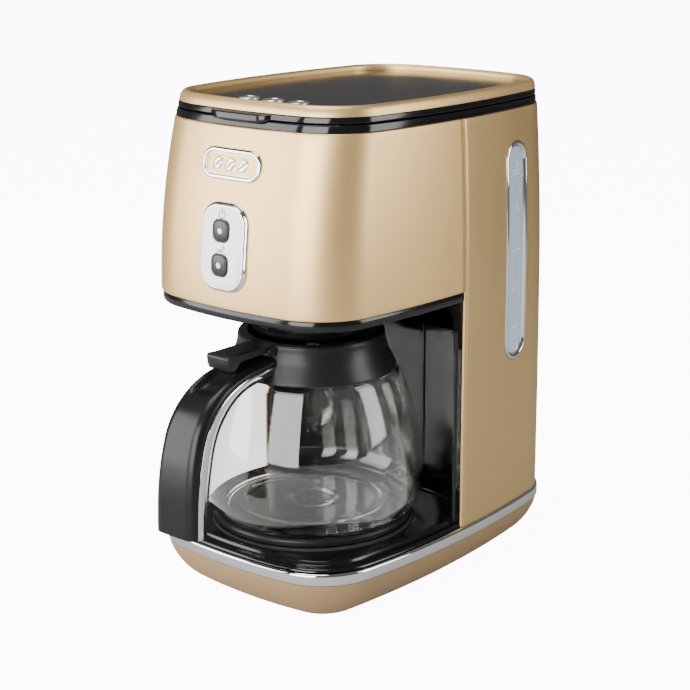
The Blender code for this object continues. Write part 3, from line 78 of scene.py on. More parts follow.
class Shape:
    """Gathers patches of points and faces, and turns them into one object."""

    def __init__(self) -> None:
        """Starts with no points and no faces."""
        self.points: list[Array] = []
        self.faces: list[Array] = []
        self.count = 0

    def grid(
        self, p: Array, wrap_rows: bool = False, wrap_cols: bool = True,
        leave: tuple[int, int, int, int] | None = None
    ) -> int:
        """Adds a surface whose corner (i, j) meets (i+1, j+1).

        Args:
            p: points as rows x columns x 3.
            wrap_rows: whether the last row meets the first.
            wrap_cols: whether the last column meets the first.
            leave: first and last row and column of a block that stays open, here and in the mirrored rows.

        Returns:
            The index of the patch's first point.
        """
        rows, cols = p.shape[:2]
        i = np.arange(rows if wrap_rows else rows - 1)
        j = np.arange(cols if wrap_cols else cols - 1)
        a, b = np.meshgrid(i, j, indexing="ij")
        c, d = (a + 1) % rows, (b + 1) % cols
        quads = np.stack([a * cols + b, a * cols + d, c * cols + d, c * cols + b], -1)
        if leave:
            r0, r1, c0, c1 = leave
            level = np.minimum(a, rows - 2 - a)
            quads = quads[~((level >= r0) & (level < r1) & (b >= c0) & (b < c1))]
        quads = quads.reshape(-1, 4)
        start = self.count
        self.points.append(p.reshape(-1, 3))
        self.faces.append(quads + start)
        self.count += rows * cols
        return start

    def fan(self, first: int, cols: int, centre: Sequence[float], flip: bool = False) -> None:
        """Closes a ring of points with triangles to one middle point.

        Args:
            first: index of the ring's first point.
            cols: how many points the ring has.
            centre: the middle point.
            flip: whether the triangles turn the other way.
        """
        j = np.arange(cols)
        k = (j + 1) % cols
        middle = np.full(cols, self.count)
        trio = np.stack([first + k, first + j, middle] if flip else [first + j, first + k, middle], -1)
        self.points.append(np.asarray(centre, float).reshape(1, 3))
        self.faces.append(trio)
        self.count += 1

    def solid(self, p: Array, wrap_rows: bool = False) -> "Shape":
        """Adds a grid of rings and closes both ends with fans, unless the rows wrap.

        Args:
            p: rings as rows x columns x 3.
            wrap_rows: whether the last ring meets the first.

        Returns:
            This shape.
        """
        start = self.grid(p, wrap_rows)
        if not wrap_rows:
            rows, cols = p.shape[:2]
            self.fan(start, cols, p[0].mean(0), flip=True)
            self.fan(start + (rows - 1) * cols, cols, p[-1].mean(0))
        return self

    def object(self, name: str, finish: "Finish", body: str, nodes: Sequence[str] = (),
        sharp: float = 50) -> bpy.types.Object:
        """Makes the gathered patches one dressed piece that rides on a body.

        The sign of the volume under all faces tells which way they point, and they are turned outwards.

        Args:
            name: the piece's name.
            finish: what it is dressed in.
            body: the body it moves with.
            nodes: frame nodes that it stands for.
            sharp: edges that turn by more degrees than this stay crisp.

        Returns:
            The new object.
        """
        p = np.concatenate(self.points)
        volume = 0.0
        for f in self.faces:
            for k in range(1, f.shape[1] - 1):
                volume += np.einsum("ij,ij->", p[f[:, 0]], np.cross(p[f[:, k]], p[f[:, k + 1]]))
        faces = [f[:, ::-1] if volume < 0 else f for f in self.faces]
        loops = np.concatenate([f.reshape(-1) for f in faces])
        sizes = np.concatenate([np.full(len(f), f.shape[1]) for f in faces])
        mesh = bpy.data.meshes.new(name)
        mesh.vertices.add(len(p))
        mesh.vertices.foreach_set("co", p.astype(np.float32).reshape(-1))
        mesh.loops.add(len(loops))
        mesh.loops.foreach_set("vertex_index", loops.astype(np.int32))
        mesh.polygons.add(len(sizes))
        mesh.polygons.foreach_set("loop_start", (np.cumsum(sizes) - sizes).astype(np.int32))
        mesh.update(calc_edges=True)
        mesh.validate()
        mesh.shade_smooth()
        mesh.set_sharp_from_angle(angle=math.radians(sharp))
        made = bpy.data.objects.new(name, mesh)
        bpy.context.scene.collection.objects.link(made)
        return dress(made, finish, body, nodes)


def dress(made: bpy.types.Object, finish: "Finish", body: str, nodes: Sequence[str] = ()) -> bpy.types.Object:
    """Gives a piece its finish, body and frame nodes.

    Args:
        made: the piece.
        finish: what it is dressed in.
        body: the body it moves with.
        nodes: frame nodes that it stands for.

    Returns:
        The same piece.
    """
    made.data.materials.clear()
    made.data.materials.append(finish.material())
    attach(made, body)
    finish.slot
    if nodes:
        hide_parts(*nodes)
    LOG.info("%s rides on %s in %s", made.name, body, finish.name)
    return made


def soften(made: bpy.types.Object, width: float, segments: int = 2, angle: float = 40) -> bpy.types.Object:
    """Rounds a piece's crisp edges.

    Args:
        made: the piece.
        width: how far the rounding reaches from the edge.
        segments: steps across the rounding.
        angle: edges that turn less than this stay.

    Returns:
        The same piece.
    """
    bevel = made.modifiers.new("softened_edges", "BEVEL")
    bevel.width = width
    bevel.segments = segments
    bevel.limit_method = "ANGLE"
    bevel.angle_limit = math.radians(angle)
    bevel.harden_normals = False
    return made


def filleted(points: Sequence[Sequence[float]], radii: Sequence[float] | float, steps: int = 5,
    closed: bool = True) -> Array:
    """A polygon with its corners rounded by quadratic curves that start a radius away from each corner.

    Args:
        points: corners as pairs.
        radii: one radius, or one for each corner.
        steps: how many steps each rounding has.
        closed: whether the last corner meets the first.

    Returns:
        The rounded outline as n x 2.
    """
    p = np.asarray(points, float)
    r = np.broadcast_to(np.asarray(radii, float), (len(p),))
    before, after = np.roll(p, 1, 0), np.roll(p, -1, 0)
    reach_in = np.minimum(r, np.linalg.norm(before - p, axis=1) * 0.49)
    reach_out = np.minimum(r, np.linalg.norm(after - p, axis=1) * 0.49)
    start = p + (before - p) * (reach_in / np.linalg.norm(before - p, axis=1))[:, None]
    end = p + (after - p) * (reach_out / np.linalg.norm(after - p, axis=1))[:, None]
    t = np.linspace(0, 1, steps + 1)[None, :, None]
    curve = start[:, None] * (1 - t) ** 2 + p[:, None] * 2 * t * (1 - t) + end[:, None] * t * t
    if not closed:
        curve[0], curve[-1] = p[0], p[-1]
    out = curve.reshape(-1, 2)
    keep = np.ones(len(out), bool)
    keep[1:] = np.linalg.norm(np.diff(out, axis=0), axis=1) > 1e-7
    return out[keep]


def squircle(half_w: float, half_h: float, corner: float, steps: int = 12, side: int = 1) -> Array:
    """A rounded rectangle, anticlockwise: quarter circles about four centres, joined by straight sides.

    Args:
        half_w: half the width.
        half_h: half the height.
        corner: corner radius.
        steps: steps in each corner.
        side: steps in each straight side.

    Returns:
        The outline as n x 2.
    """
    t = np.linspace(0, np.pi / 2, steps + 1)
    parts = []
    for k, (sx, sy) in enumerate(((1, -1), (1, 1), (-1, 1), (-1, -1))):
        turn = t + np.pi / 2 * (k - 1)
        centre = np.array([sx * (half_w - corner), sy * (half_h - corner)])
        parts.append(centre + corner * np.stack([np.cos(turn), np.sin(turn)], -1))
    out = []
    for here, there in zip(parts, parts[1:] + parts[:1]):
        u = np.linspace(0, 1, side + 1)[1:-1, None]
        out += [here, here[-1] * (1 - u) + there[0] * u]
    return np.concatenate(out)


def spun(profile: Array, centre: Sequence[float], steps: int = 128) -> Array:
    """Rings of a profile turned about a vertical axis: x and y are r cos t and r sin t.

    Args:
        profile: (radius, height) pairs.
        centre: the axis as (x, y).
        steps: points in each ring.

    Returns:
        Rings as rows x steps x 3.
    """
    t = np.linspace(0, 2 * np.pi, steps, endpoint=False)
    r, z = np.asarray(profile, float).T
    x = centre[0] + r[:, None] * np.cos(t)
    y = centre[1] + r[:, None] * np.sin(t)
    return np.stack([x, y, np.broadcast_to(z[:, None], x.shape)], -1)


def through(knots: Sequence[Sequence[float]], steps: int) -> Array:
    """A smooth curve through points: Catmull-Rom pieces with chord-length spacing.

    Args:
        knots: the points.
        steps: how many points come back.

    Returns:
        Evenly spread points on the curve.
    """
    k = np.asarray(knots, float)
    k = np.concatenate([2 * k[:1] - k[1:2], k, 2 * k[-1:] - k[-2:-1]])
    t = np.linspace(0, 1, 40, endpoint=False)[None, :, None]
    a, b, c, d = k[:-3, None], k[1:-2, None], k[2:-1, None], k[3:, None]
    fine = 0.5 * (2 * b + (c - a) * t + (2 * a - 5 * b + 4 * c - d) * t**2 + (3 * b - a - 3 * c + d) * t**3)
    fine = np.concatenate([fine.reshape(-1, k.shape[1]), k[-2:-1]])
    run = np.concatenate([[0], np.cumsum(np.linalg.norm(np.diff(fine, axis=0), axis=1))])
    at = np.linspace(0, run[-1], steps)
    return np.stack([np.interp(at, run, fine[:, i]) for i in range(k.shape[1])], -1)


# ---- finishes --------------------------------------------------------------------------------------


def socketed(name: str, inputs: dict[str, tuple[str, object]], outputs: dict[str, str]) -> bpy.types.NodeTree:
    """A new shader group with named sockets.

    Args:
        name: the group's name.
        inputs: socket name to (kind, default).
        outputs: socket name to kind.

    Returns:
        The group's tree, with its input and output nodes in it.
    """
    tree = bpy.data.node_groups.new(name, "ShaderNodeTree")
    for label, (kind, default) in inputs.items():
        made = tree.interface.new_socket(label, in_out="INPUT", socket_type="NodeSocket" + kind)
        made.default_value = default
    for label, kind in outputs.items():
        tree.interface.new_socket(label, in_out="OUTPUT", socket_type="NodeSocket" + kind)
    tree.nodes.new("NodeGroupInput").name = "in"
    tree.nodes.new("NodeGroupOutput").name = "out"
    return tree


def put(tree: bpy.types.NodeTree, kind: str, values: dict | None = None,
    **settings: object) -> bpy.types.Node:
    """Adds a node. A value that is a socket is linked, and any other is set.

    Args:
        tree: where the node goes.
        kind: node type after "ShaderNode".
        values: input name or number to value or socket.
        settings: node properties.

    Returns:
        The node.
    """
    node = tree.nodes.new("ShaderNode" + kind)
    for key, value in settings.items():
        setattr(node, key, value)
    for key, value in (values or {}).items():
        if isinstance(value, bpy.types.NodeSocket):
            tree.links.new(value, node.inputs[key])
        else:
            node.inputs[key].default_value = value
    return node


def mix(tree: bpy.types.NodeTree, factor: object, a: object, b: object,
    blend: str = "MIX") -> bpy.types.NodeSocket:
    """Mixes two colours.

    Args:
        tree: where the node goes.
        factor: value or socket.
        a: colour or socket at factor 0.
        b: colour or socket at factor 1.
        blend: blend type.

    Returns:
        The mixed colour's socket.
    """
    node = put(tree, "Mix", {0: factor, 6: a, 7: b}, data_type="RGBA", blend_type=blend)
    return node.outputs[2]


def grain_group() -> bpy.types.NodeTree:
    """Soft fine noise: the height of moulded or painted grain.

    Returns:
        The shared group.
    """
    found = bpy.data.node_groups.get("surface_grain")
    if found:
        return found
    tree = socketed("surface_grain", {"Scale": ("Float", 900.0), "Detail": ("Float", 3.0)},
        {"Height": "Float"})
    given, out = tree.nodes["in"], tree.nodes["out"]
    place = put(tree, "TexCoord").outputs["Object"]
    noise = put(tree, "TexNoise", {"Vector": place, "Scale": given.outputs["Scale"],
        "Detail": given.outputs["Detail"]})
    tree.links.new(noise.outputs["Fac"], out.inputs["Height"])
    return tree


def handling_group() -> bpy.types.NodeTree:
    """Wipe marks and settled dust: a broad uneven veil and a few specks, which lift the roughness.

    Returns:
        The shared group.
    """
    found = bpy.data.node_groups.get("handling")
    if found:
        return found
    tree = socketed(
        "handling",
        {"Roughness": ("Float", 0.3), "Veil": ("Float", 0.05), "Specks": ("Float", 0.1)},
        {"Roughness": "Float", "Dust": "Float"},
    )
    given, out = tree.nodes["in"], tree.nodes["out"]
    place = put(tree, "TexCoord").outputs["Object"]
    stretch = put(tree, "Mapping", {"Vector": place, "Scale": (1.0, 1.0, 0.45)})
    veil = put(tree, "TexNoise", {"Vector": stretch.outputs[0], "Scale": 22.0, "Detail": 5.0,
        "Distortion": 0.6})
    swing = put(tree, "MapRange", {"Value": veil.outputs["Fac"], "From Min": 0.3, "From Max": 0.7,
        "To Min": -1.0})
    lift = put(tree, "Math", {0: swing.outputs["Result"], 1: given.outputs["Veil"]}, operation="MULTIPLY")
    rough = put(tree, "Math", {0: lift.outputs[0], 1: given.outputs["Roughness"]}, operation="ADD",
        use_clamp=True)
    specks = put(tree, "TexVoronoi", {"Vector": place, "Scale": 420.0}, feature="F1")
    near = put(tree, "MapRange", {"Value": specks.outputs["Distance"], "From Min": 0.0, "From Max": 0.09,
        "To Min": 1.0, "To Max": 0.0})
    chance = put(tree, "Math", {0: specks.outputs["Color"], 1: 0.86}, operation="GREATER_THAN")
    few = put(tree, "Math", {0: near.outputs["Result"], 1: chance.outputs[0]}, operation="MULTIPLY")
    dust = put(tree, "Math", {0: few.outputs[0], 1: given.outputs["Specks"]}, operation="MULTIPLY")
    tree.links.new(rough.outputs[0], out.inputs["Roughness"])
    tree.links.new(dust.outputs[0], out.inputs["Dust"])
    return tree


def tone_group() -> bpy.types.NodeTree:
    """Uneven tone: a base colour drifts towards a second over broad patches and fine flakes.

    Returns:
        The shared group.
    """
    found = bpy.data.node_groups.get("tone_drift")
    if found:
        return found
    tree = socketed(
        "tone_drift",
        {
            "Base": ("Color", (0.5, 0.5, 0.5, 1)),
            "Second": ("Color", (0.4, 0.4, 0.4, 1)),
            "Flake Scale": ("Float", 2500.0),
            "Flake": ("Float", 0.3),
            "Patch": ("Float", 0.3),
        },
        {"Color": "Color"},
    )
    given, out = tree.nodes["in"], tree.nodes["out"]
    place = put(tree, "TexCoord").outputs["Object"]
    flakes = put(tree, "TexVoronoi", {"Vector": place, "Scale": given.outputs["Flake Scale"]}, feature="F1")
    bright = put(tree, "SeparateColor", {0: flakes.outputs["Color"]})
    some = put(tree, "Math", {0: bright.outputs[0], 1: given.outputs["Flake"]}, operation="MULTIPLY")
    patch = put(tree, "TexNoise", {"Vector": place, "Scale": 9.0, "Detail": 2.0})
    broad = put(tree, "Math", {0: patch.outputs["Fac"], 1: given.outputs["Patch"]}, operation="MULTIPLY")
    both = put(tree, "Math", {0: some.outputs[0], 1: broad.outputs[0]}, operation="ADD", use_clamp=True)
    tree.links.new(mix(tree, both.outputs[0], given.outputs["Base"], given.outputs["Second"]),
        out.inputs["Color"])
    return tree


@dataclass(frozen=True)
class Finish:
    """A named surface: two colours that drift into each other, grain, gloss and handling."""

    name: str
    slot: str
    base: tuple[float, float, float]
    second: tuple[float, float, float]
    rough: float = 0.4
    metallic: float = 0.0
    flake_scale: float = 2500.0
    flake: float = 0.3
    patch: float = 0.3
    grain_scale: float = 900.0
    grain: float = 0.02
    grain_depth: float = 0.00002
    veil: float = 0.04
    specks: float = 0.0
    coat: float = 0.0
    coat_rough: float = 0.05
    clear: float = 0.0
    ior: float = 1.45
    glow: float = 0.0

    def material(self) -> bpy.types.Material:
        """The finish's material, made the first time it is asked for.

        Returns:
            The material.
        """
        found = bpy.data.materials.get("look_" + self.name)
        if found:
            return found
        made = bpy.data.materials.new("look_" + self.name)
        made.use_nodes = True
        tree = made.node_tree
        shader = tree.nodes["Principled BSDF"]
        shader.inputs["Metallic"].default_value = self.metallic
        shader.inputs["IOR"].default_value = self.ior
        shader.inputs["Transmission Weight"].default_value = self.clear
        shader.inputs["Coat Weight"].default_value = self.coat
        shader.inputs["Coat Roughness"].default_value = self.coat_rough
        tone = put(tree, "Group", node_tree=tone_group())
        for label, value in (
            ("Base", (*self.base, 1)),
            ("Second", (*self.second, 1)),
            ("Flake Scale", self.flake_scale),
            ("Flake", self.flake),
            ("Patch", self.patch),
        ):
            tone.inputs[label].default_value = value
        handled = put(tree, "Group", node_tree=handling_group())
        handled.inputs["Roughness"].default_value = self.rough
        handled.inputs["Veil"].default_value = self.veil
        handled.inputs["Specks"].default_value = self.specks
        dusty = mix(tree, handled.outputs["Dust"], tone.outputs["Color"], (0.7, 0.68, 0.64, 1))
        tree.links.new(dusty, shader.inputs["Base Color"])
        tree.links.new(handled.outputs["Roughness"], shader.inputs["Roughness"])
        grain = put(tree, "Group", node_tree=grain_group())
        grain.inputs["Scale"].default_value = self.grain_scale
        bump = put(tree, "Bump", {"Strength": self.grain, "Distance": self.grain_depth,
            "Height": grain.outputs["Height"]})
        tree.links.new(bump.outputs[0], shader.inputs["Normal"])
        if self.glow:
            tree.links.new(tone.outputs["Color"], shader.inputs["Emission Color"])
            shader.inputs["Emission Strength"].default_value = self.glow
        return made


class Look(Enum):
    """The finishes of this machine."""

    GOLD = Finish("champagne_satin", "champagne_metal", (0.81, 0.545, 0.235), (0.69, 0.445, 0.175), 0.41,
        0.82, 5200, 0.35, 0.12, 2600, 0.12, 0.00003, 0.02)
    # The column's champagne is the same paint as GOLD with darker colours: painted shade for the side that
    # faces away from the lights.
    COLUMN_PAINTED_SHADE = Finish("champagne_column_painted_shade", "champagne_metal", (0.62, 0.43, 0.185), (0.53, 0.355, 0.145), 0.40,
        0.80, 5200, 0.35, 0.12, 2600, 0.12, 0.00003, 0.02)
    SATIN_CHROME = Finish("satin_chrome", "chrome", (0.88, 0.88, 0.88), (0.80, 0.80, 0.80), 0.26, 1.0, 3000,
        0.2, 0.2, 700, 0.01, 0.00001, 0.02)
    SKIRT = Finish("champagne_shade", "champagne_paint", (0.37, 0.245, 0.12), (0.32, 0.205, 0.10), 0.46,
        0.35, 5200, 0.4, 0.15, 2600, 0.15, 0.00003, 0.03)
    CHROME = Finish("polished_chrome", "chrome", (0.80, 0.80, 0.80), (0.72, 0.72, 0.72), 0.05, 1.0, 3000,
        0.2, 0.2, 700, 0.004, 0.00001, 0.012)
    GLOSS = Finish("black_gloss", "black_gloss", (0.004, 0.004, 0.0045), (0.007, 0.007, 0.0075), 0.12, 0.0,
        1800, 0.3, 0.4, 500, 0.02, 0.00001, 0.03, 0.02)
    SATIN = Finish("black_satin", "black_satin", (0.008, 0.008, 0.009), (0.014, 0.014, 0.015), 0.33, 0.0,
        2600, 0.5, 0.3, 2400, 0.25, 0.00004, 0.05, 0.03, ior=1.36)
    GRIP = Finish("black_grip", "black_gloss", (0.006, 0.006, 0.007), (0.010, 0.010, 0.011), 0.24, 0.0,
        2200, 0.4, 0.3, 2000, 0.12, 0.00003, 0.04, 0.02, ior=1.33)
    GLASS = Finish("jug_glass", "clear_glass", (0.97, 0.98, 0.96), (0.95, 0.96, 0.92), 0.01, 0.0, 30, 0.3,
        0.5, 60, 0.05, 0.0002, 0.006, 0.0, 0.0, 0.05, 1.0, 1.47)
    PANE = Finish("gauge_pane", "window_blue", (0.44, 0.53, 0.62), (0.50, 0.59, 0.67), 0.22, 0.0, 900, 0.2,
        0.6, 900, 0.05, 0.00002, 0.03, 0.0, 0.4)
    PALE = Finish("pale_enamel", "silver_plate", (0.90, 0.93, 0.97), (0.84, 0.87, 0.92), 0.30, 0.0, 2600,
        0.2, 0.3, 1800, 0.03, 0.00001, 0.03, 0.0, 0.3)
    SMOKE = Finish("smoked_button", "button_grey", (0.010, 0.010, 0.011), (0.018, 0.018, 0.020), 0.30, 0.0,
        1500, 0.3, 0.5, 1500, 0.04, 0.00002, 0.04, 0.0, 0.15)
    LENS = Finish("milky_lens", "lens_white", (0.72, 0.76, 0.80), (0.62, 0.66, 0.70), 0.2, 0.0, 900, 0.2,
        0.3, 900, 0.02, 0.00001, 0.02, glow=0.15)
    INK = Finish("grey_print", "button_grey", (0.10, 0.10, 0.11), (0.14, 0.14, 0.15), 0.4, 0.0, 3000, 0.3,
        0.3, 3000, 0.05)
    PRINT = Finish("white_print", "silver_plate", (0.80, 0.84, 0.88), (0.72, 0.76, 0.80), 0.45, 0.0, 3000,
        0.3, 0.3, 3000, 0.05)
    TANK = Finish("tank_plastic", "tank_clear", (0.72, 0.78, 0.84), (0.66, 0.72, 0.78), 0.18, 0.0, 900, 0.2,
        0.4, 700, 0.1, 0.00003, 0.04, 0.0, 0.0, 0.05, 0.75, 1.5)
    RUBBER = Finish("foot_rubber", "rubber", (0.022, 0.022, 0.022), (0.035, 0.034, 0.033), 0.72, 0.0, 1600,
        0.6, 0.4, 1500, 0.5, 0.0001, 0.08, 0.15)
    SILICONE = Finish("hose_silicone", "silicone", (0.72, 0.72, 0.68), (0.62, 0.62, 0.58), 0.42, 0.0, 900,
        0.3, 0.5, 900, 0.1, 0.00003, 0.05)
    CAST = Finish("cast_aluminium", "aluminium", (0.62, 0.63, 0.64), (0.46, 0.47, 0.48), 0.42, 1.0, 1400,
        0.6, 0.3, 900, 0.4, 0.00008, 0.08)
    STEEL = Finish("plain_steel", "steel", (0.50, 0.50, 0.51), (0.40, 0.40, 0.41), 0.3, 1.0, 2200, 0.4, 0.3,
        1400, 0.1, 0.00002, 0.06)
    BOARD = Finish("lacquered_board", "board_green", (0.02, 0.13, 0.05), (0.03, 0.19, 0.08), 0.35, 0.0, 500,
        0.6, 0.3, 900, 0.1, 0.00003, 0.05)
    MESH = Finish("gold_mesh", "mesh_gold", (0.50, 0.38, 0.18), (0.22, 0.16, 0.08), 0.4, 0.8, 1300, 0.8,
        0.2, 1500, 0.6, 0.0002, 0.05)

    @property
    def slot(self) -> str:
        """The slot name of this finish."""
        return self.value.slot

    def material(self) -> bpy.types.Material:
        """The finish's material."""
        return self.value.material()


# ---- the body's form -------------------------------------------------------------------------------


@dataclass(frozen=True)
class Form:
    """The plan outline of bowed sides and corner arcs, its taper with height, and the stack of levels."""

    half_w: float = 89.3 * MM
    half_d: float = 130.3 * MM
    front_bow: float = 13.0 * MM
    side_bow: float = 12.8 * MM
    corner_r: float = 44.4 * MM
    width_taper: float = 3.8 * MM
    front_taper: float = 15.5 * MM
    back_taper: float = 7.0 * MM
    back_step: float = 1.8 * MM
    skirt_z: float = 3.0 * MM
    band_z: float = 34.2 * MM
    bay_z: float = 42.5 * MM
    trim_z: float = 196.4 * MM
    housing_z: float = 203.4 * MM
    shell_top: float = 314.2 * MM
    deck_top: float = 319.0 * MM
    lid_z: float = 319.8 * MM
    frame_z: float = 323.7 * MM
    top_z: float = 330.0 * MM
    bay_half_w: float = 80.0 * MM
    bay_depth: float = 36.0 * MM
    bay_power: float = 3.0
    jug_y: float = -48.0 * MM
    middle_y: float = field(default_factory=lambda: sum(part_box("chrome_band")[i].y for i in (0, 1)) / 2)

    def arcs(self) -> tuple[Array, Array, Array]:
        """Centre, radius and direction of every point of the outline, anticlockwise from the front's middle.

        Each quarter is three tangent arcs. A point moved inwards by s is centre + (radius - s) * direction.

        Returns:
            Centres n x 2, radii n and directions n x 2.
        """
        front_r = (self.half_w**2 + self.front_bow**2) / (2 * self.front_bow)
        side_r = (self.half_d**2 + self.side_bow**2) / (2 * self.side_bow)
        front = np.array([0, front_r - self.half_d])
        side = np.array([self.half_w - side_r, 0])
        near, far = front_r - self.corner_r, side_r - self.corner_r
        gap = side - front
        length = np.linalg.norm(gap)
        along = (near**2 - far**2 + length**2) / (2 * length)
        off = math.sqrt(near**2 - along**2)
        unit = gap / length
        across = np.array([-unit[1], unit[0]])
        corner = max((front + unit * along + s * across * off for s in (1, -1)), key=lambda c: c[0] - c[1])
        turn_in = math.atan2(*(corner - front)[::-1])
        turn_out = math.atan2(*(corner - side)[::-1])
        turns = [np.linspace(-np.pi / 2, turn_in, 22)[:-1], np.linspace(turn_in, turn_out, 19)[:-1],
            np.linspace(turn_out, 0, 24)]
        t = np.concatenate(turns)
        c = np.concatenate([np.tile(v, (len(s), 1)) for v, s in zip((front, corner, side), turns)])
        r = np.concatenate([np.full(len(s), v) for v, s in zip((front_r, self.corner_r, side_r), turns)])
        u = np.stack([np.cos(t), np.sin(t)], -1)
        flip_y, flip_x = np.array([1, -1]), np.array([-1, 1])
        c, r, u = (np.concatenate([a, (a[::-1] * f)[1:]]) for a, f in ((c, flip_y), (r, 1), (u, flip_y)))
        c, r, u = (np.concatenate([a, (a[::-1] * f)[1:-1]]) for a, f in ((c, flip_x), (r, 1), (u, flip_x)))
        return c, r, u

    def loop(self, inset: Array, part: slice | Array = slice(None)) -> Array:
        """Outlines moved inwards: centre + (radius - inset) * direction.

        Args:
            inset: one inset for each ring.
            part: which of the outline's points to keep.

        Returns:
            Rings as rows x columns x 2, about the body's middle.
        """
        c, r, u = (a[part] for a in self.arcs())
        s = np.asarray(inset, float)[:, None]
        return c[None] + (r[None] - s)[..., None] * u[None]

    def halves(self) -> tuple[Array, Array]:
        """Indices of the front half, left seam to right seam, and of the back half, right to left."""
        n = len(self.arcs()[1])
        q = n // 4
        return np.arange(-q, q + 1) % n, np.arange(q, 3 * q + 1)

    def tapered(self, xy: Array, z: Array) -> Array:
        """Plan points at their heights: x and y shrink as the squared height above where the taper starts.

        Args:
            xy: rings as rows x columns x 2.
            z: height of each ring, or of each point.

        Returns:
            Points as rows x columns x 3, in the machine's frame.
        """
        z = np.asarray(z, float)
        z = z[:, None] if z.ndim == 1 else z
        up = np.clip((z - self.housing_z) / (self.shell_top - self.housing_z), 0, None)
        rise = np.clip((z - self.bay_z) / (self.shell_top - self.bay_z), 0, None)
        x = xy[..., 0] * (self.half_w - self.width_taper * up**2) / self.half_w
        front = self.half_d - self.front_taper * up**2
        back = self.half_d - self.back_step - self.back_taper * rise**2
        y = xy[..., 1] * np.where(xy[..., 1] < 0, front, back) / self.half_d + self.middle_y
        return np.stack([x, y, np.broadcast_to(z, x.shape)], -1)

    def upper(self, profile: Array, part: slice | Array = slice(None)) -> Array:
        """Carries an (inset, height) profile round the tapered body.

        Args:
            profile: pairs of inset and height.
            part: which of the outline's points to keep.

        Returns:
            Rings as rows x columns x 3.
        """
        p = np.asarray(profile, float)
        return self.tapered(self.loop(p[:, 0], part), p[:, 1])

    def lower(self, profile: Array) -> Array:
        """Carries an (inset, height) profile round the untapered base.

        Args:
            profile: pairs of inset and height.

        Returns:
            Rings as rows x columns x 3.
        """
        p = np.asarray(profile, float)
        xy = self.loop(p[:, 0])
        z = np.broadcast_to(p[:, 1][:, None], xy.shape[:2])
        return np.stack([xy[..., 0], xy[..., 1] + self.middle_y, z], -1)

    def bay(self, offset: Array, steps: int = 72) -> Array:
        """The bay's rear wall in plan, right to left: |x/w|^p + |y/d|^p = 1, both grown by the offset.

        Args:
            offset: one outward offset for each row.
            steps: points in each row, less one.

        Returns:
            Rows x columns x 2, about the body's middle.
        """
        t = np.linspace(0, np.pi, steps + 1)
        s = np.asarray(offset, float)[:, None]
        power = 2 / self.bay_power
        x = np.sign(np.cos(t)) * np.abs(np.cos(t)) ** power * (self.bay_half_w + s)
        y = np.abs(np.sin(t)) ** power * (self.bay_depth + s)
        return np.stack([x, y], -1)

    def bay_ring(self, inset: Array, offset: Array, z: Array, seam: Array) -> Array:
        """Rings round the bay's floor: the front half of the outline and the rear wall.

        Args:
            inset: inwards move of the front half in each ring.
            offset: outwards move of the rear wall in each ring.
            z: height of each ring.
            seam: how far before the middle the front half ends in each ring.

        Returns:
            Rings as rows x columns x 3.
        """
        half = self.loop(inset, self.halves()[0])
        half[:, 0, 1] = half[:, -1, 1] = -np.asarray(seam, float)
        xy = np.concatenate([half, self.bay(offset)], 1)
        z = np.broadcast_to(np.asarray(z, float)[:, None], xy.shape[:2])
        return np.stack([xy[..., 0], xy[..., 1] + self.middle_y, z], -1)

    def front_at(self, x: Array, z: Array) -> Array:
        """Y of the housing's front face: the front arc, drawn in by the taper.

        Args:
            x: across.
            z: height.

        Returns:
            Y for each pair.
        """
        front_r = (self.half_w**2 + self.front_bow**2) / (2 * self.front_bow)
        up = np.clip((z - self.housing_z) / (self.shell_top - self.housing_z), 0, None)
        plain = x * self.half_w / (self.half_w - self.width_taper * up**2)
        y = front_r - self.half_d - np.sqrt(front_r**2 - plain**2)
        return y * (self.half_d - self.front_taper * up**2) / self.half_d + self.middle_y

    def side_at(self, y: Array, z: Array) -> Array:
        """X of the column's right side behind the middle: the side arc, drawn in by the taper.

        Args:
            y: along, in the machine's frame.
            z: height.

        Returns:
            X for each pair.
        """
        side_r = (self.half_d**2 + self.side_bow**2) / (2 * self.side_bow)
        up = np.clip((z - self.housing_z) / (self.shell_top - self.housing_z), 0, None)
        rise = np.clip((z - self.bay_z) / (self.shell_top - self.bay_z), 0, None)
        back = self.half_d - self.back_step - self.back_taper * rise**2
        plain = (y - self.middle_y) * self.half_d / back
        x = self.half_w - side_r + np.sqrt(side_r**2 - plain**2)
        return x * (self.half_w - self.width_taper * up**2) / self.half_w


# ---- sub-assemblies --------------------------------------------------------------------------------


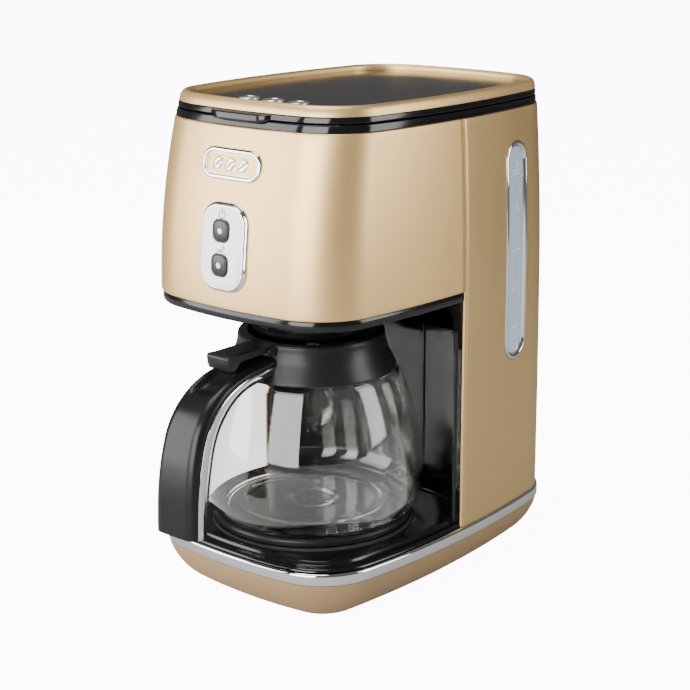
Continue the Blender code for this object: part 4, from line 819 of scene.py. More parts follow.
@dataclass
class Base:
    """The curled skirt, the bright band over it and the tray in the bay."""

    form: Form
    curl: float = 30.0 * MM
    power: float = 1.6
    lip: float = 33.0 * MM
    wall: float = 2.0 * MM
    proud: float = 0.7 * MM
    floor_h: float = 3.0 * MM
    well_r: float = 68.0 * MM

    def inset(self, z: Array) -> Array:
        """How far the skirt curls in: a quarter of |a|^p + |b|^p = 1 from the band down to the lip.

        Args:
            z: heights.

        Returns:
            Insets.
        """
        down = np.clip((self.form.band_z - z) / (self.form.band_z - self.form.skirt_z), 0, 1)
        return self.curl * (1 - (1 - down**self.power) ** (1 / self.power))

    def skirt(self) -> None:
        """The skirt's outer curl, its turned lip and its inner face, carried round the base."""
        f = self.form
        t = np.linspace(0, 1, 30)
        z = f.band_z - 0.3 * MM - (f.band_z - 0.3 * MM - f.skirt_z - 0.4 * MM) * np.sin(t * np.pi / 2)
        outer = np.stack([self.inset(z), z], -1)
        lip = np.array([[self.lip - 0.6 * MM, f.skirt_z], [self.lip, f.skirt_z + 0.5 * MM],
            [self.lip, f.skirt_z + self.wall]])
        back = outer[::-1] + np.array([self.wall, self.wall * 0.6])
        back[-1] = [self.wall, f.band_z - 0.3 * MM]
        profile = np.concatenate([outer, lip, back[3:]])
        Shape().solid(f.lower(profile), wrap_rows=True).object("skirt_moulding", Look.SKIRT, "machine",
            ["base_skirt"], sharp=38)

    def band(self) -> None:
        """The bright band: a flat face between two rounded edges, with a soft roll at its top."""
        f = self.form
        low, high = f.band_z, f.bay_z - 0.3 * MM
        profile = filleted(
            [(-self.proud, low), (-self.proud, high - 1.2 * MM), (0.9 * MM, high), (3 * MM, high),
            (3 * MM, low)],
            [1.0 * MM, 1.0 * MM, 0.9 * MM, 0.3 * MM, 0.3 * MM],
        )
        Shape().solid(f.lower(profile), wrap_rows=True).object("base_bright_band", Look.CHROME, "machine",
            ["chrome_band"], sharp=38)

    def tray(self) -> None:
        """The tray: a sloping rim up to a round bead, a recessed floor and the well for the hot plate."""
        f = self.form
        z0 = f.bay_z
        # Inset, offset, height and seam of each ring, in millimetres.
        rows = np.array(
            [
                [1.0, -0.3, 0.3, 0.3],
                [1.2, -0.3, 1.2, 0.3],
                [3.2, -0.4, 2.3, 0.3],
                [5.4, -0.6, 2.7, 0.4],
                [6.3, -0.8, 3.4, 0.5],
                [6.9, -1.0, 4.6, 0.6],
                [7.6, -1.3, 5.3, 0.7],
                [8.6, -1.8, 5.5, 0.8],
                [9.5, -2.2, 5.2, 1.0],
                [10.2, -2.6, 4.3, 1.2],
                [10.9, -3.0, 3.2, 1.4],
                [12.5, -3.8, 3.0, 1.8],
            ]
        ) * MM
        rings = f.bay_ring(rows[:, 0], rows[:, 1], z0 + rows[:, 2], rows[:, 3])
        last = rings[-1]
        middle = np.array([0, f.jug_y + f.middle_y])
        away = last[:, :2] - middle
        away /= np.linalg.norm(away, axis=1)[:, None]
        circle = middle + away * self.well_r
        depths = (self.floor_h, 0.3 * MM)
        well = [np.column_stack([circle, np.full(len(circle), z0 + h)]) for h in depths]
        half = (last + well[0]) / 2
        p = np.concatenate([rings, half[None], np.stack(well)])
        Shape().solid(p, wrap_rows=True).object("bay_tray_moulding", Look.GLOSS, "machine", ["bay_tray"])

    def hot_plate(self) -> None:
        """The warming plate: a coated disc with a rolled rim, a shallow step and fine turned rings."""
        low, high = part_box("warming_plate")
        top, r = high.z, high.x
        centre = ((low.x + high.x) / 2, (low.y + high.y) / 2)
        s = np.linspace(0, 1, 60)
        face = np.stack([s * (r - 6 * MM), top - 0.35 * MM + 0.05 * MM * np.cos(s * 60)], -1)
        rim = filleted([(r - 6 * MM, top - 0.35 * MM), (r - 5 * MM, top), (r - 1.6 * MM, top),
            (r, top - 1.6 * MM), (r, low.z), (r - 1.2 * MM, low.z)], 0.8 * MM, 4, closed=False)
        under = np.array([(r - 1.2 * MM, top - 2.4 * MM), (0.3 * MM, top - 2.4 * MM)])
        profile = np.concatenate([face[1:], rim[1:], under])
        Shape().solid(spun(profile, centre)).object("hot_plate_disc", Look.SATIN, "machine",
            ["warming_plate"])

    def build(self) -> None:
        """Builds every piece of the base."""
        self.skirt()
        self.band()
        self.tray()
        self.hot_plate()


@dataclass
class Bay:
    """The liner behind the jug and the trim under the housing."""

    form: Form
    wall: float = 2.0 * MM
    flange: float = 2.9 * MM
    leg_h: float = 19.5 * MM
    corner: float = 12.0 * MM
    collar_hole: float = 43.8 * MM
    panel_half_w: float = 30.0 * MM
    panel_low: float = 62.0 * MM
    panel_high: float = 188.0 * MM
    panel_corner: float = 11.0 * MM

    def liner(self) -> None:
        """The liner: flanges, a rounded rib on each edge and the bowed wall, raised to full height."""
        f = self.form
        x = f.half_w - self.flange
        face = f.bay(np.zeros(1), 96)[0]
        face[:, 1] += 0.3 * MM
        back = f.bay(np.full(1, self.wall), 96)[0]
        back[0, 1] = back[-1, 1] = self.wall + 0.3 * MM
        rib = np.array([(83.6, 0.3), (83.2, -0.5), (82.5, -1.0), (81.6, -1.0), (80.7, -0.5),
            (80.15, 0.6)]) * MM
        right = np.concatenate([np.array([(x, self.wall + 0.3 * MM), (x, 0.3 * MM)]), rib])
        left = right[::-1] * np.array([-1, 1])
        section = np.concatenate([right, face[1:-1], left, back[::-1]])
        z = np.array([f.bay_z + 0.3 * MM, f.trim_z - self.leg_h - 0.3 * MM])
        rings = np.stack([np.column_stack([section[:, 0], section[:, 1] + f.middle_y,
            np.full(len(section), h)]) for h in z])
        lower = Shape()
        lower.solid(rings)
        narrow = np.concatenate([face, back[::-1]])
        z = np.array([f.trim_z - self.leg_h - 0.3 * MM, f.trim_z - 0.3 * MM])
        rings = np.stack([np.column_stack([narrow[:, 0],
            narrow[:, 1] + f.middle_y + 2.2 * MM * (abs(narrow[:, 1]) < 0.4 * MM),
            np.full(len(narrow), h)]) for h in z])
        lower.solid(rings)
        lower.object("bay_liner_moulding", Look.GLOSS, "machine", ["bay_liner"])

    def panel(self) -> None:
        """The liner's raised panel: a rounded rectangle bent to the wall and crowned at its edge."""
        f = self.form
        half_h, middle_z = (self.panel_high - self.panel_low) / 2, (self.panel_low + self.panel_high) / 2
        s = np.array([0.0, 0.9, 1.0, 0.995, 0.98, 0.95, 0.9, 0.0])
        lift = np.array([-0.6, -0.6, -0.6, 0.6, 1.2, 1.5, 1.6, 1.6]) * MM
        edge = squircle(self.panel_half_w, half_h, self.panel_corner, 10, 6)
        rows = []
        for k, up in zip(s, lift):
            x = edge[:, 0] * k
            z = middle_z + edge[:, 1] * (1 - (1 - k) * 0.45)
            wall = f.bay_depth * (1 - np.abs(x / f.bay_half_w) ** f.bay_power) ** (1 / f.bay_power)
            rows.append(np.column_stack([x, wall + f.middle_y + 0.3 * MM - up, z]))
        shape = Shape()
        shape.grid(np.stack(rows))
        shape.object("bay_back_panel", Look.GLOSS, "machine")

    def trim(self) -> None:
        """The lip under the housing: a rounded edge round the front and a ceiling with the collar's hole."""
        f = self.form
        z = f.trim_z
        rows = np.array(
            [
                (46, -34, 0.0, 2),
                (6.5, 1.0, 0.0, 1),
                (3.2, 2.0, 0.0, 0),
                (2.2, 2.0, 0.25, 0),
                (1.6, 2.0, 0.9, 0),
                (1.25, 2.0, 2.2, 0),
                (1.2, 2.0, 6.1, 0),
                (1.5, 2.0, 6.6, 0),
                (2.2, 2.0, 6.7, 0),
                (5.2, 1.0, 6.7, 2),
                (5.2, 1.0, 2.0, 2),
            ]
        ) * MM
        rings = f.bay_ring(rows[1:, 0], rows[1:, 1], z + rows[1:, 2], rows[1:, 3])
        first = rings[0]
        middle = np.array([0, f.jug_y + f.middle_y])
        away = first[:, :2] - middle
        away /= np.linalg.norm(away, axis=1)[:, None]
        circle = middle + away * (self.collar_hole + 0.5 * MM)
        low = np.column_stack([circle, np.full(len(circle), z)])
        high = np.column_stack([circle, np.full(len(circle), z + 2 * MM)])
        p = np.concatenate([high[None], low[None], rings])
        Shape().solid(p, wrap_rows=True).object("housing_lip", Look.GLOSS, "machine", ["housing_trim"])

    def legs(self) -> None:
        """The lip's frame on the column: two short legs joined to a top strip by rounded inner corners."""
        f = self.form
        x, low, top = f.half_w - self.flange, f.trim_z - self.leg_h, f.trim_z + 1 * MM
        t = np.linspace(0, np.pi / 2, 14)
        centre = (f.bay_half_w - self.corner, f.trim_z - 4 * MM - self.corner)
        arc = np.column_stack([centre[0] + self.corner * np.cos(t), centre[1] + self.corner * np.sin(t)])
        right = np.concatenate([[(x, top)], [(x, low)], [(f.bay_half_w, low)], arc])
        pairs = np.concatenate([right, right[::-1] * np.array([-1, 1])])
        y = np.array([f.middle_y + 0.06 * MM, f.middle_y + self.wall])
        rings = np.stack([np.column_stack([pairs[:, 0], np.full(len(pairs), v), pairs[:, 1]]) for v in y])
        shape = Shape()
        shape.grid(rings)
        n = len(pairs)
        half = n // 2
        a = np.arange(half - 1)
        strip = np.stack([a, a + 1, n - 2 - a, n - 1 - a], -1)
        shape.faces += [strip[:, ::-1], strip + n]
        soften(shape.object("housing_lip_legs", Look.GLOSS, "machine", sharp=40), 0.5 * MM)

    def build(self) -> None:
        """Builds every piece of the bay."""
        self.liner()
        self.panel()
        self.trim()
        self.legs()


@dataclass
class Shells:
    """The painted wraps of the housing and the column."""

    form: Form
    wall: float = 2.0 * MM
    seam: float = 0.15 * MM

    def profile(self, low: float, tuck: float) -> Array:
        """The wall's closed section: rounded foot, outer face, rounded top, and inner face at the same heights.

        Args:
            low: height of the lower edge.
            tuck: how far the whole wall is drawn in.

        Returns:
            (inset, height) pairs, outer face upwards and inner face downwards.
        """
        r = 0.9 * MM
        top = self.form.shell_top
        t = np.linspace(0, np.pi / 2, 7)
        up = np.linspace(low + r, top - r, 40)
        foot = np.stack([r - r * np.sin(t), low + r - r * np.cos(t)], -1)
        head = np.stack([r - r * np.cos(t), top - r + r * np.sin(t)], -1)
        outer = np.concatenate([foot[:-1], np.stack([np.zeros_like(up), up], -1), head[1:]])
        inner = np.stack([np.full(len(outer), self.wall), outer[::-1, 1]], -1)
        return np.concatenate([outer, inner]) + np.array([tuck, 0])

    def ends(self, p: Array, step: float) -> Array:
        """Sets both seam edges just off the middle, with a softened outer corner.

        Args:
            p: the wall's rings.
            step: how far the softened corner reaches along the side, signed.

        Returns:
            Rings with a column more at each seam.
        """
        middle = self.form.middle_y
        outer = (np.arange(len(p)) < len(p) // 2)[:, None]
        edge = p[:, [0, -1]].copy()
        side = np.sign(edge[..., 0])
        edge[..., 1] = middle + math.copysign(self.seam, step)
        near = edge.copy()
        near[..., 1] = middle + step
        edge[..., 0] -= side * 0.7 * MM * outer
        return np.concatenate([edge[:, :1], near[:, :1], p[:, 1:-1], near[:, 1:], edge[:, 1:]], 1)

    def sheet(self, name: str, node: str, look: Look, part: Array, low: float, tuck: float, step: float,
        hole: Array | None = None) -> None:
        """A wall of even thickness along half the outline, with a hole through its right side if one is given.

        Args:
            name: the piece's name.
            node: the frame node that it stands for.
            look: its finish.
            part: which half of the outline.
            low: height of the lower edge.
            tuck: how far the whole wall is drawn in.
            step: which way the wall lies from the seam, and how far its softened corner reaches.
            hole: the hole's outline as (y, z) pairs.
        """
        p = self.ends(self.form.upper(self.profile(low, tuck), part), step)
        rows, cols = p.shape[:2]
        shape = Shape()
        block = None
        if hole is not None:
            near, far = hole[:, 0].min() - 3 * MM, hole[:, 0].max() + 3 * MM
            foot, head = hole[:, 1].min() - 3 * MM, hole[:, 1].max() + 3 * MM
            line, z = p[rows // 4, : cols // 3, 1], p[: rows // 2, 0, 2]
            block = (int((z < foot).sum()) - 1, int((z < head).sum()), int((line < near).sum()) - 1,
                int((line < far).sum()))
        shape.grid(p, wrap_rows=True, wrap_cols=False, leave=block)
        i = np.arange(rows // 2 - 1)
        cap = np.stack([i, i + 1, rows - 2 - i, rows - 1 - i], -1) * cols
        shape.faces += [cap, cap[:, ::-1] + cols - 1]
        if block:
            self.pierce(shape, p, block, hole)
        shape.object(name, look, "machine", [node])

    def pierce(self, shape: Shape, p: Array, block: tuple[int, int, int, int], hole: Array) -> None:
        """Joins the left-out block of the outer face to that of the inner face through the hole.

        Rings blend from the block's border to the hole's outline, matched by the angle about the middle
        after both are scaled to a unit box. They run in on the outer face, through the wall and back out.

        Args:
            shape: the wall so far.
            p: the wall's rings.
            block: first and last row and column of the border.
            hole: the hole's outline as (y, z) pairs.
        """
        rows, cols = p.shape[:2]
        r0, r1, c0, c1 = block
        across, up = np.arange(c0, c1), np.arange(r0, r1)
        row = np.concatenate([np.full(len(across), r0), up, np.full(len(across), r1), up[::-1] + 1])
        col = np.concatenate([across, np.full(len(up), c1), across[::-1] + 1, np.full(len(up), c0)])
        border = p[row, col]
        middle = (hole.max(0) + hole.min(0)) / 2
        half_hole = (hole.max(0) - hole.min(0)) / 2
        half_block = (border[:, 1:].max(0) - border[:, 1:].min(0)) / 2
        known, asked = (hole - middle) / half_hole, (border[:, 1:] - middle) / half_block
        angle = np.unwrap(np.arctan2(known[:, 1], known[:, 0]))
        want = np.arctan2(asked[:, 1], asked[:, 0])
        target = np.stack([np.interp(want, angle, hole[:, k], period=2 * np.pi) for k in (0, 1)], -1)
        rings = []
        for share, depth in ((0.4, 0), (0.8, 0), (0.97, 0), (1, 0.25), (1, 1), (0.5, 1)):
            yz = border[:, 1:] * (1 - share) + target * share
            x = self.form.side_at(yz[:, 0], yz[:, 1]) - depth * self.wall
            rings.append(np.column_stack([x, yz]))
        first = shape.grid(np.stack(rings))
        n = len(border)
        j = np.arange(n)
        k = (j + 1) % n
        outer, inner = row * cols + col, (rows - 1 - row) * cols + col
        last = first + (len(rings) - 1) * n
        shape.faces += [
            np.stack([outer[j], outer[k], first + k, first + j], -1),
            np.stack([last + j, last + k, inner[k], inner[j]], -1),
        ]

    def build(self) -> None:
        """Builds both wraps."""
        front, back = self.form.halves()
        gauge = Gauge(self.form)
        size = gauge.half_w + 0.45 * MM, (gauge.high - gauge.low) / 2 + 0.45 * MM
        hole = squircle(*size, size[0] * 0.98, 16, 24) + np.array([self.form.middle_y + gauge.y,
            (gauge.low + gauge.high) / 2])
        self.sheet("housing_wrap", "front_shell", Look.GOLD, front, self.form.housing_z, 0.3 * MM, -0.8 * MM)
        # The column wrap wears the darker champagne copy, whose colour holds painted shade.
        self.sheet("column_wrap", "rear_shell", Look.COLUMN_PAINTED_SHADE, back, self.form.bay_z, 0.0, 0.8 * MM, hole)


@dataclass
class Lid:
    """The deck ring and the lid: rim, thumb lip, rolled painted frame, panel, eyelets and knuckle."""

    form: Form
    ledge: float = 7.0 * MM
    lip_half: float = 24.5 * MM
    lip_reach: float = 3.2 * MM
    knuckle_r: float = 3.2 * MM
    knuckle_half: float = 17.0 * MM
    pin_bore: float = 1.8 * MM

    def deck(self) -> None:
        """The black ring on the shells, rounded along its upper edge, round the frame's own deck."""
        f = self.form
        profile = filleted([(0.75, f.shell_top / MM + 0.3), (0.75, f.deck_top / MM), (3.8, f.deck_top / MM),
            (3.8, f.shell_top / MM + 0.3)], [0.2, 0.8, 0.3, 0.2], 5) * MM
        Shape().solid(f.upper(profile), wrap_rows=True).object("deck_ring", Look.GLOSS, "machine")

    def rim(self) -> None:
        """The lid's black rim: a band with rounded edges under the painted frame."""
        f = self.form
        low, high = f.lid_z, f.frame_z - 0.3 * MM
        profile = filleted([(0.9 * MM, low), (0.9 * MM, high), (11 * MM, high), (11 * MM, low)],
            [0.7 * MM, 0.4 * MM, 0.2 * MM, 0.4 * MM], 4)
        p = f.upper(profile)
        Shape().solid(p, wrap_rows=True).object("lid_rim_band", Look.GLOSS, "lid", ["lid_rim"])

    def thumb_lip(self) -> None:
        """The thumb lip: a flat tongue whose plan edge is the front arc pushed out by 1 - |s|^8."""
        f = self.form
        s = np.linspace(-1, 1, 61)
        x = s * self.lip_half
        base = f.front_at(x, np.full_like(x, f.lid_z)) + 0.9 * MM
        swell = 1 - np.abs(s) ** 8
        out = base - (self.lip_reach + 0.9 * MM) * swell
        z0, z1, drop = f.lid_z, f.lid_z + 3.0 * MM, 1.9 * MM * swell
        section = [(9, 0, 0), (2.2, 0, 0), (2.0, 0, 0.7), (1.4, 0, 1), (0.6, 0, 1), (0.15, 0.3, 1),
            (0, 1.0, 1), (0, -0.9, -1), (0.2, -0.3, -1), (0.9, 0, -1), (9, 0, -1)]
        rows = []
        for inward, up, level in section:
            z = np.full(len(x), z1 + up * MM) if level < 0 else z0 - drop * level + up * MM
            rows.append(np.column_stack([x, np.minimum(out + inward * MM, base + 3 * MM), z]))
        rings = np.stack(rows)
        Shape().solid(rings.transpose(1, 0, 2)).object("lid_thumb_lip", Look.GLOSS, "lid")

    def frame(self) -> None:
        """The painted frame: an outer wall that rolls over a soft crest and falls to the panel."""
        f = self.form
        z, top = f.frame_z, f.top_z
        rows = [(0.9, 0), (0.9, 1.6), (1.1, 3.2), (1.6, 4.6), (2.3, 5.6), (3.1, 6.1), (3.9, 6.3),
            (4.7, 6.2), (5.5, 5.7), (6.2, 4.8), (6.6, 3.6), (6.7, 2.0), (6.7, 0)]
        profile = np.array(rows) * MM + np.array([0, z])
        profile[:, 1] = np.minimum(profile[:, 1], top)
        smooth = through(profile, 34)
        Shape().solid(f.upper(smooth), wrap_rows=True).object("lid_painted_frame", Look.GOLD, "lid",
            ["lid_frame"])

    def panel(self) -> None:
        """The dark panel: concentric rings of the ledge's outline drawn in to the middle."""
        f = self.form
        top = f.top_z - 4.2 * MM
        s = np.concatenate([[0.0, 0.02], np.linspace(0.05, 1, 16)[:-1]])
        edge = f.upper(np.array([(self.ledge, top)]))[0]
        middle = np.array([0, f.middle_y, top])
        rings = middle + (edge - middle)[None] * (1 - s)[:, None, None]
        lower = rings[0].copy()
        lower[:, 2] = f.frame_z
        start = np.concatenate([lower[None], rings])
        Shape().solid(start).object("lid_dark_panel", Look.GLOSS, "lid", ["lid_panel"])

    def eyelets(self) -> None:
        """Three bright dished eyelets: a rolled flange falling into a shallow cone."""
        for name in ("left", "centre", "right"):
            low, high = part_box("vent_eyelet_" + name)
            centre, r = ((low.x + high.x) / 2, (low.y + high.y) / 2), (high.x - low.x) / 2
            z = self.form.top_z - 4.2 * MM
            t = np.linspace(0, 1, 14)
            dish = np.stack([r * (0.74 - 0.74 * t),
                z + 0.2 * MM + 1.5 * MM * (1 - t) ** 1.7 * (1 - 0.25 * t)], -1)[1:]
            arc = np.linspace(0, np.pi, 12)
            roll = np.stack([r * (0.87 + 0.13 * np.cos(arc)), z + 0.9 * MM + 0.85 * MM * np.sin(arc)], -1)
            roll = np.concatenate([[(r, z + 0.05 * MM)], roll[:-1]])
            profile = np.concatenate([roll, dish[:-1]])
            Shape().solid(spun(profile, centre, 64)).object("eyelet_dish_" + name, Look.SATIN_CHROME, "lid",
                ["vent_eyelet_" + name], sharp=60)

    def knuckle(self) -> None:
        """The lid's hinge knuckle: a barrel round the pin with a lug to the rim, bored for the pin."""
        low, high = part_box("hinge_pin")
        centre = np.array([(low.y + high.y) / 2, (low.z + high.z) / 2])
        t = np.radians(np.linspace(90, -194, 44))
        barrel = self.knuckle_r * np.column_stack([np.cos(t), np.sin(t)])
        skin = np.concatenate([barrel, np.array([(-3.9, 0.8), (-6.6, 0.8), (-6.6, 3.0), (-2.0, 3.0)]) * MM])
        bore = skin * self.pin_bore / np.linalg.norm(skin, axis=1)[:, None]
        ends = ((skin, -1), (skin, 1), (bore, 1), (bore, -1))
        rings = [np.column_stack([np.full(len(q), side * self.knuckle_half), q + centre]) for q, side in ends]
        Shape().solid(np.stack(rings), wrap_rows=True).object("lid_hinge_knuckle", Look.GLOSS, "lid",
            sharp=40)

    def build(self) -> None:
        """Builds every piece of the lid."""
        self.deck()
        self.rim()
        self.thumb_lip()
        self.knuckle()
        self.frame()
        self.panel()
        self.eyelets()


@dataclass
class Front:
    """The badge and the control panel on the housing's front."""

    form: Form
    badge: tuple[float, float] = (24.3 * MM, 9.3 * MM)
    badge_z: float = 291.9 * MM
    panel: tuple[float, float] = (19.3 * MM, 27.3 * MM)
    panel_z: float = 241.9 * MM
    plate_in: float = 2.3 * MM
    bean_half: tuple[float, float] = (4.6 * MM, 3.1 * MM)
    button: float = 7.0 * MM
    gap: float = 10.5 * MM

    def laid(self, outline: Array, up: float, lift: float | Array) -> Array:
        """Lays a flat outline on the front face, lifted off it.

        Args:
            outline: pairs across and up.
            up: height of the outline's middle.
            lift: distance in front of the face.

        Returns:
            Points n x 3.
        """
        x, z = outline[:, 0], outline[:, 1] + up
        return np.column_stack([x, self.form.front_at(x, z) - lift, z])

    def pillow(self, name: str, look: Look, size: tuple[float, float], corner: float, up: float,
        lifts: Sequence[tuple[float, float]], nodes: Sequence[str] = ()) -> None:
        """A plate on the face whose rings shrink by a margin while they rise, closed in the middle.

        Args:
            name: the piece's name.
            look: its finish.
            size: half width and half height.
            corner: corner radius.
            up: height of its middle.
            lifts: pairs of margin and lift, outside first.
            nodes: frame nodes that it stands for.
        """
        rings = []
        for margin, lift in lifts:
            edge = squircle(size[0] - margin, size[1] - margin, max(corner - margin, 0.2 * MM), 12, 8)
            rings.append(self.laid(edge, up, lift))
        base = squircle(size[0] - lifts[-1][0], size[1] - lifts[-1][0],
            max(corner - lifts[-1][0], 0.2 * MM), 12, 8)
        for k in (0.8, 0.6, 0.4, 0.2, 0.05):
            rings.append(self.laid(base * k, up, lifts[-1][1]))
        Shape().solid(np.stack(rings)).object(name, look, "machine", nodes)

    def hoop(self, name: str, size: tuple[float, float], corner: float, up: float,
        section: Sequence[tuple[float, float]], nodes: Sequence[str]) -> None:
        """A closed rim on the face: a (margin, lift) section carried round a rounded rectangle.

        Args:
            name: the piece's name.
            size: half width and half height.
            corner: corner radius.
            up: height of its middle.
            section: closed pairs of margin and lift.
            nodes: frame nodes that it stands for.
        """
        rings = [self.laid(squircle(size[0] - m, size[1] - m, max(corner - m, 0.2 * MM), 12, 8), up,
            lift) for m, lift in section]
        Shape().solid(np.stack(rings), wrap_rows=True).object(name, Look.CHROME, "machine", nodes)

    def build_badge(self) -> None:
        """The plain badge: a rounded bright rim, a painted plate, an inner line and three raised beans."""
        corner = self.badge[1] * 0.98
        section = np.array(filleted([(-0.2, -0.2), (-0.2, 0.8), (0.9, 1.5), (2.4, 1.3), (2.6, 0.3),
            (2.6, -0.2)], [0.1, 0.7, 1.0, 0.6, 0.1, 0.1], 5)) * MM
        self.hoop("badge_bright_rim", self.badge, corner, self.badge_z, [tuple(v) for v in section],
            ["badge_rim"])
        inner = (self.badge[0] - 1.7 * MM, self.badge[1] - 1.7 * MM)
        self.pillow("badge_painted_plate", Look.GOLD, inner, inner[1] * 0.98, self.badge_z,
            [(0, -0.2 * MM), (0, 0.35 * MM), (0.3 * MM, 0.45 * MM)], ["badge_plate"])
        line = filleted([(3.1, 0.3), (3.1, 0.75), (3.6, 0.75), (3.6, 0.3)], [0.1, 0.15, 0.15, 0.1], 3) * MM
        self.hoop("badge_inner_line", self.badge, corner, self.badge_z, [tuple(v) for v in line], [])
        for i, place in enumerate((-10.5 * MM, 0.0, 10.5 * MM)):
            for side in (-1, 1):
                self.bean(f"badge_bean_{i}_{'lower' if side < 0 else 'upper'}", place, side)

    def bean(self, name: str, place: float, side: int) -> None:
        """Half of a raised bean: half an ellipse cut along an S-shaped sine line, tilted, with a round crown.

        Args:
            name: the piece's name.
            place: where its middle is across the badge.
            side: +1 for the upper half and -1 for the lower.
        """
        half = self.bean_half
        t = np.linspace(0, 2 * np.pi, 48, endpoint=False)
        tilt = math.radians(32)
        x, z = half[0] * np.cos(t), half[1] * np.sin(t)
        z = np.where(z * side > 0, z, 0) + 0.25 * MM * side + 0.5 * MM * np.sin(x / half[0] * np.pi)
        rings = []
        for k, lift in ((1.0, 0.3), (1.0, 0.65), (0.9, 0.95), (0.7, 1.15), (0.4, 1.25), (0.1, 1.27)):
            middle = half[1] * 0.5 * side
            across, up = x * k, middle + (z - middle) * k
            turned = np.column_stack([across * math.cos(tilt) - up * math.sin(tilt) + place,
                across * math.sin(tilt) + up * math.cos(tilt)])
            rings.append(self.laid(turned, self.badge_z, lift * MM))
        Shape().solid(np.stack(rings)).object(name, Look.CHROME, "machine", sharp=60)

    def build_panel(self) -> None:
        """The control panel: a stepped bright bezel round a crowned pale plate."""
        corner = self.panel[0] * 0.72
        section = np.array(filleted([(0, -3), (0, 0.7), (0.8, 1.2), (1.2, 1.4), (1.5, 2.2), (2.6, 2.3),
            (2.6, -3)], [0.2, 0.4, 0.3, 0.3, 0.4, 0.3, 0.2], 4)) * MM
        self.hoop("panel_bright_bezel", self.panel, corner, self.panel_z, [tuple(v) for v in section],
            ["panel_bezel"])
        self.plate(corner - self.plate_in)

    def plate(self, corner: float) -> None:
        """The pale plate: a crowned edge, and two halves that run in to the wells of the buttons.

        Each half is a band from its share of the edge and the dividing line to the well's outline, matched by
        the angle about the well's middle. The back repeats it flat.

        Args:
            corner: the plate's corner radius.
        """
        half_w, half_h = self.panel[0] - self.plate_in, self.panel[1] - self.plate_in
        crown = np.array([(0, 0.3), (0, 2.0), (0.25, 2.35), (0.8, 2.6), (2.0, 2.8), (3.2, 2.9)]) * MM
        edges = [squircle(half_w - m, half_h - m, corner - m, 12, 8) for m in crown[:, 0]]
        shape = Shape()
        rings = [self.laid(edge, self.panel_z, lift) for edge, lift in zip(edges, crown[:, 1])]
        start = shape.grid(np.stack(rings))
        n, right = len(edges[0]), 16
        well = squircle(self.button + 0.25 * MM, self.button + 0.25 * MM, self.button * 0.72, 12)
        known = np.unwrap(np.arctan2(well[:, 1], well[:, 0]))
        divide = np.linspace(-1, 1, 17)[1:-1, None] * np.array([1.0, 0.0])
        lines = []
        for level in (-1, 0):
            lines.append(shape.count + np.arange(len(divide)))
            shape.points.append(self.laid(divide * edges[level][right, 0], self.panel_z, crown[level, 1]))
            shape.count += len(divide)
        for sign in (1, -1):
            part = (np.arange(n // 2 + 1) + right + (0 if sign > 0 else n // 2)) % n
            edge = np.concatenate([edges[-1][part], divide[::sign] * edges[-1][right, 0]])
            middle = np.array([0, sign * self.gap])
            angle = np.arctan2(edge[:, 1] - middle[1], edge[:, 0])
            found = [np.interp(angle, known, well[:, k], period=2 * np.pi) for k in (0, 1)]
            target = middle + np.stack(found, -1)
            steps = ((0.5, -1), (1, -1), (1, 0))
            lifts = [(edge * (1 - k) + target * k, crown[level, 1]) for k, level in steps]
            rings = [self.laid(outline, self.panel_z, lift) for outline, lift in lifts]
            first = shape.grid(np.stack(rings))
            front = np.concatenate([start + (len(crown) - 1) * n + part, lines[0][::sign]])
            back = np.concatenate([start + part, lines[1][::sign]])
            j = np.arange(len(edge))
            k = (j + 1) % len(edge)
            last = first + 2 * len(edge)
            shape.faces += [
                np.stack([front[j], front[k], first + k, first + j], -1),
                np.stack([last + j, last + k, back[k], back[j]], -1),
            ]
        shape.object("panel_pale_plate", Look.PALE, "machine", ["panel_plate"])

    def build_buttons(self) -> None:
        """Two smoked buttons: a dark surround, a crowned cap and a small pale lens."""
        for name, sign in (("power", 1), ("aroma", -1)):
            z = self.panel_z + sign * self.gap
            y = float(self.form.front_at(np.zeros(1), np.array([z]))[0]) - 2.9 * MM
            ring = squircle(self.button, self.button, self.button * 0.72, 12)

            def flat(edge: Array, depth: float) -> Array:
                """Places an outline in an upright plane at a depth in front of the plate."""
                return np.column_stack([edge[:, 0], np.full(len(edge), y - depth), edge[:, 1] + z])

            section = ((1, -3.0), (1, 0.12), (0.97, 0.2), (0.925, 0.16), (0.925, -3.0))
            surround = [flat(ring * k, depth * MM) for k, depth in section]
            Shape().solid(np.stack(surround), wrap_rows=True).object(f"{name}_surround", Look.GLOSS,
                "machine")
            cap = squircle(self.button - 0.7 * MM, self.button - 0.7 * MM, self.button * 0.66, 12)
            s = np.linspace(0, 1, 12)[:-1]
            crown = [flat(cap, -1.1 * MM), flat(cap, 0.4 * MM)] + [flat(cap * math.cos(v * np.pi / 2),
                (0.4 + 0.75 * math.sin(v * np.pi / 2)) * MM) for v in s[1:]]
            Shape().solid(np.stack(crown)).object(f"{name}_cap", Look.SMOKE, f"{name}_key",
                [f"{name}_button"])
            t = np.linspace(0, 2 * np.pi, 40, endpoint=False)
            disc = np.column_stack([np.cos(t), np.sin(t)]) * 1.8 * MM
            dot = [flat(disc, 0.9 * MM), flat(disc, 1.2 * MM), flat(disc * 0.8, 1.32 * MM),
                flat(disc * 0.4, 1.38 * MM)]
            Shape().solid(np.stack(dot)).object(f"{name}_lamp", Look.LENS, f"{name}_key", [f"{name}_lens"],
                sharp=60)

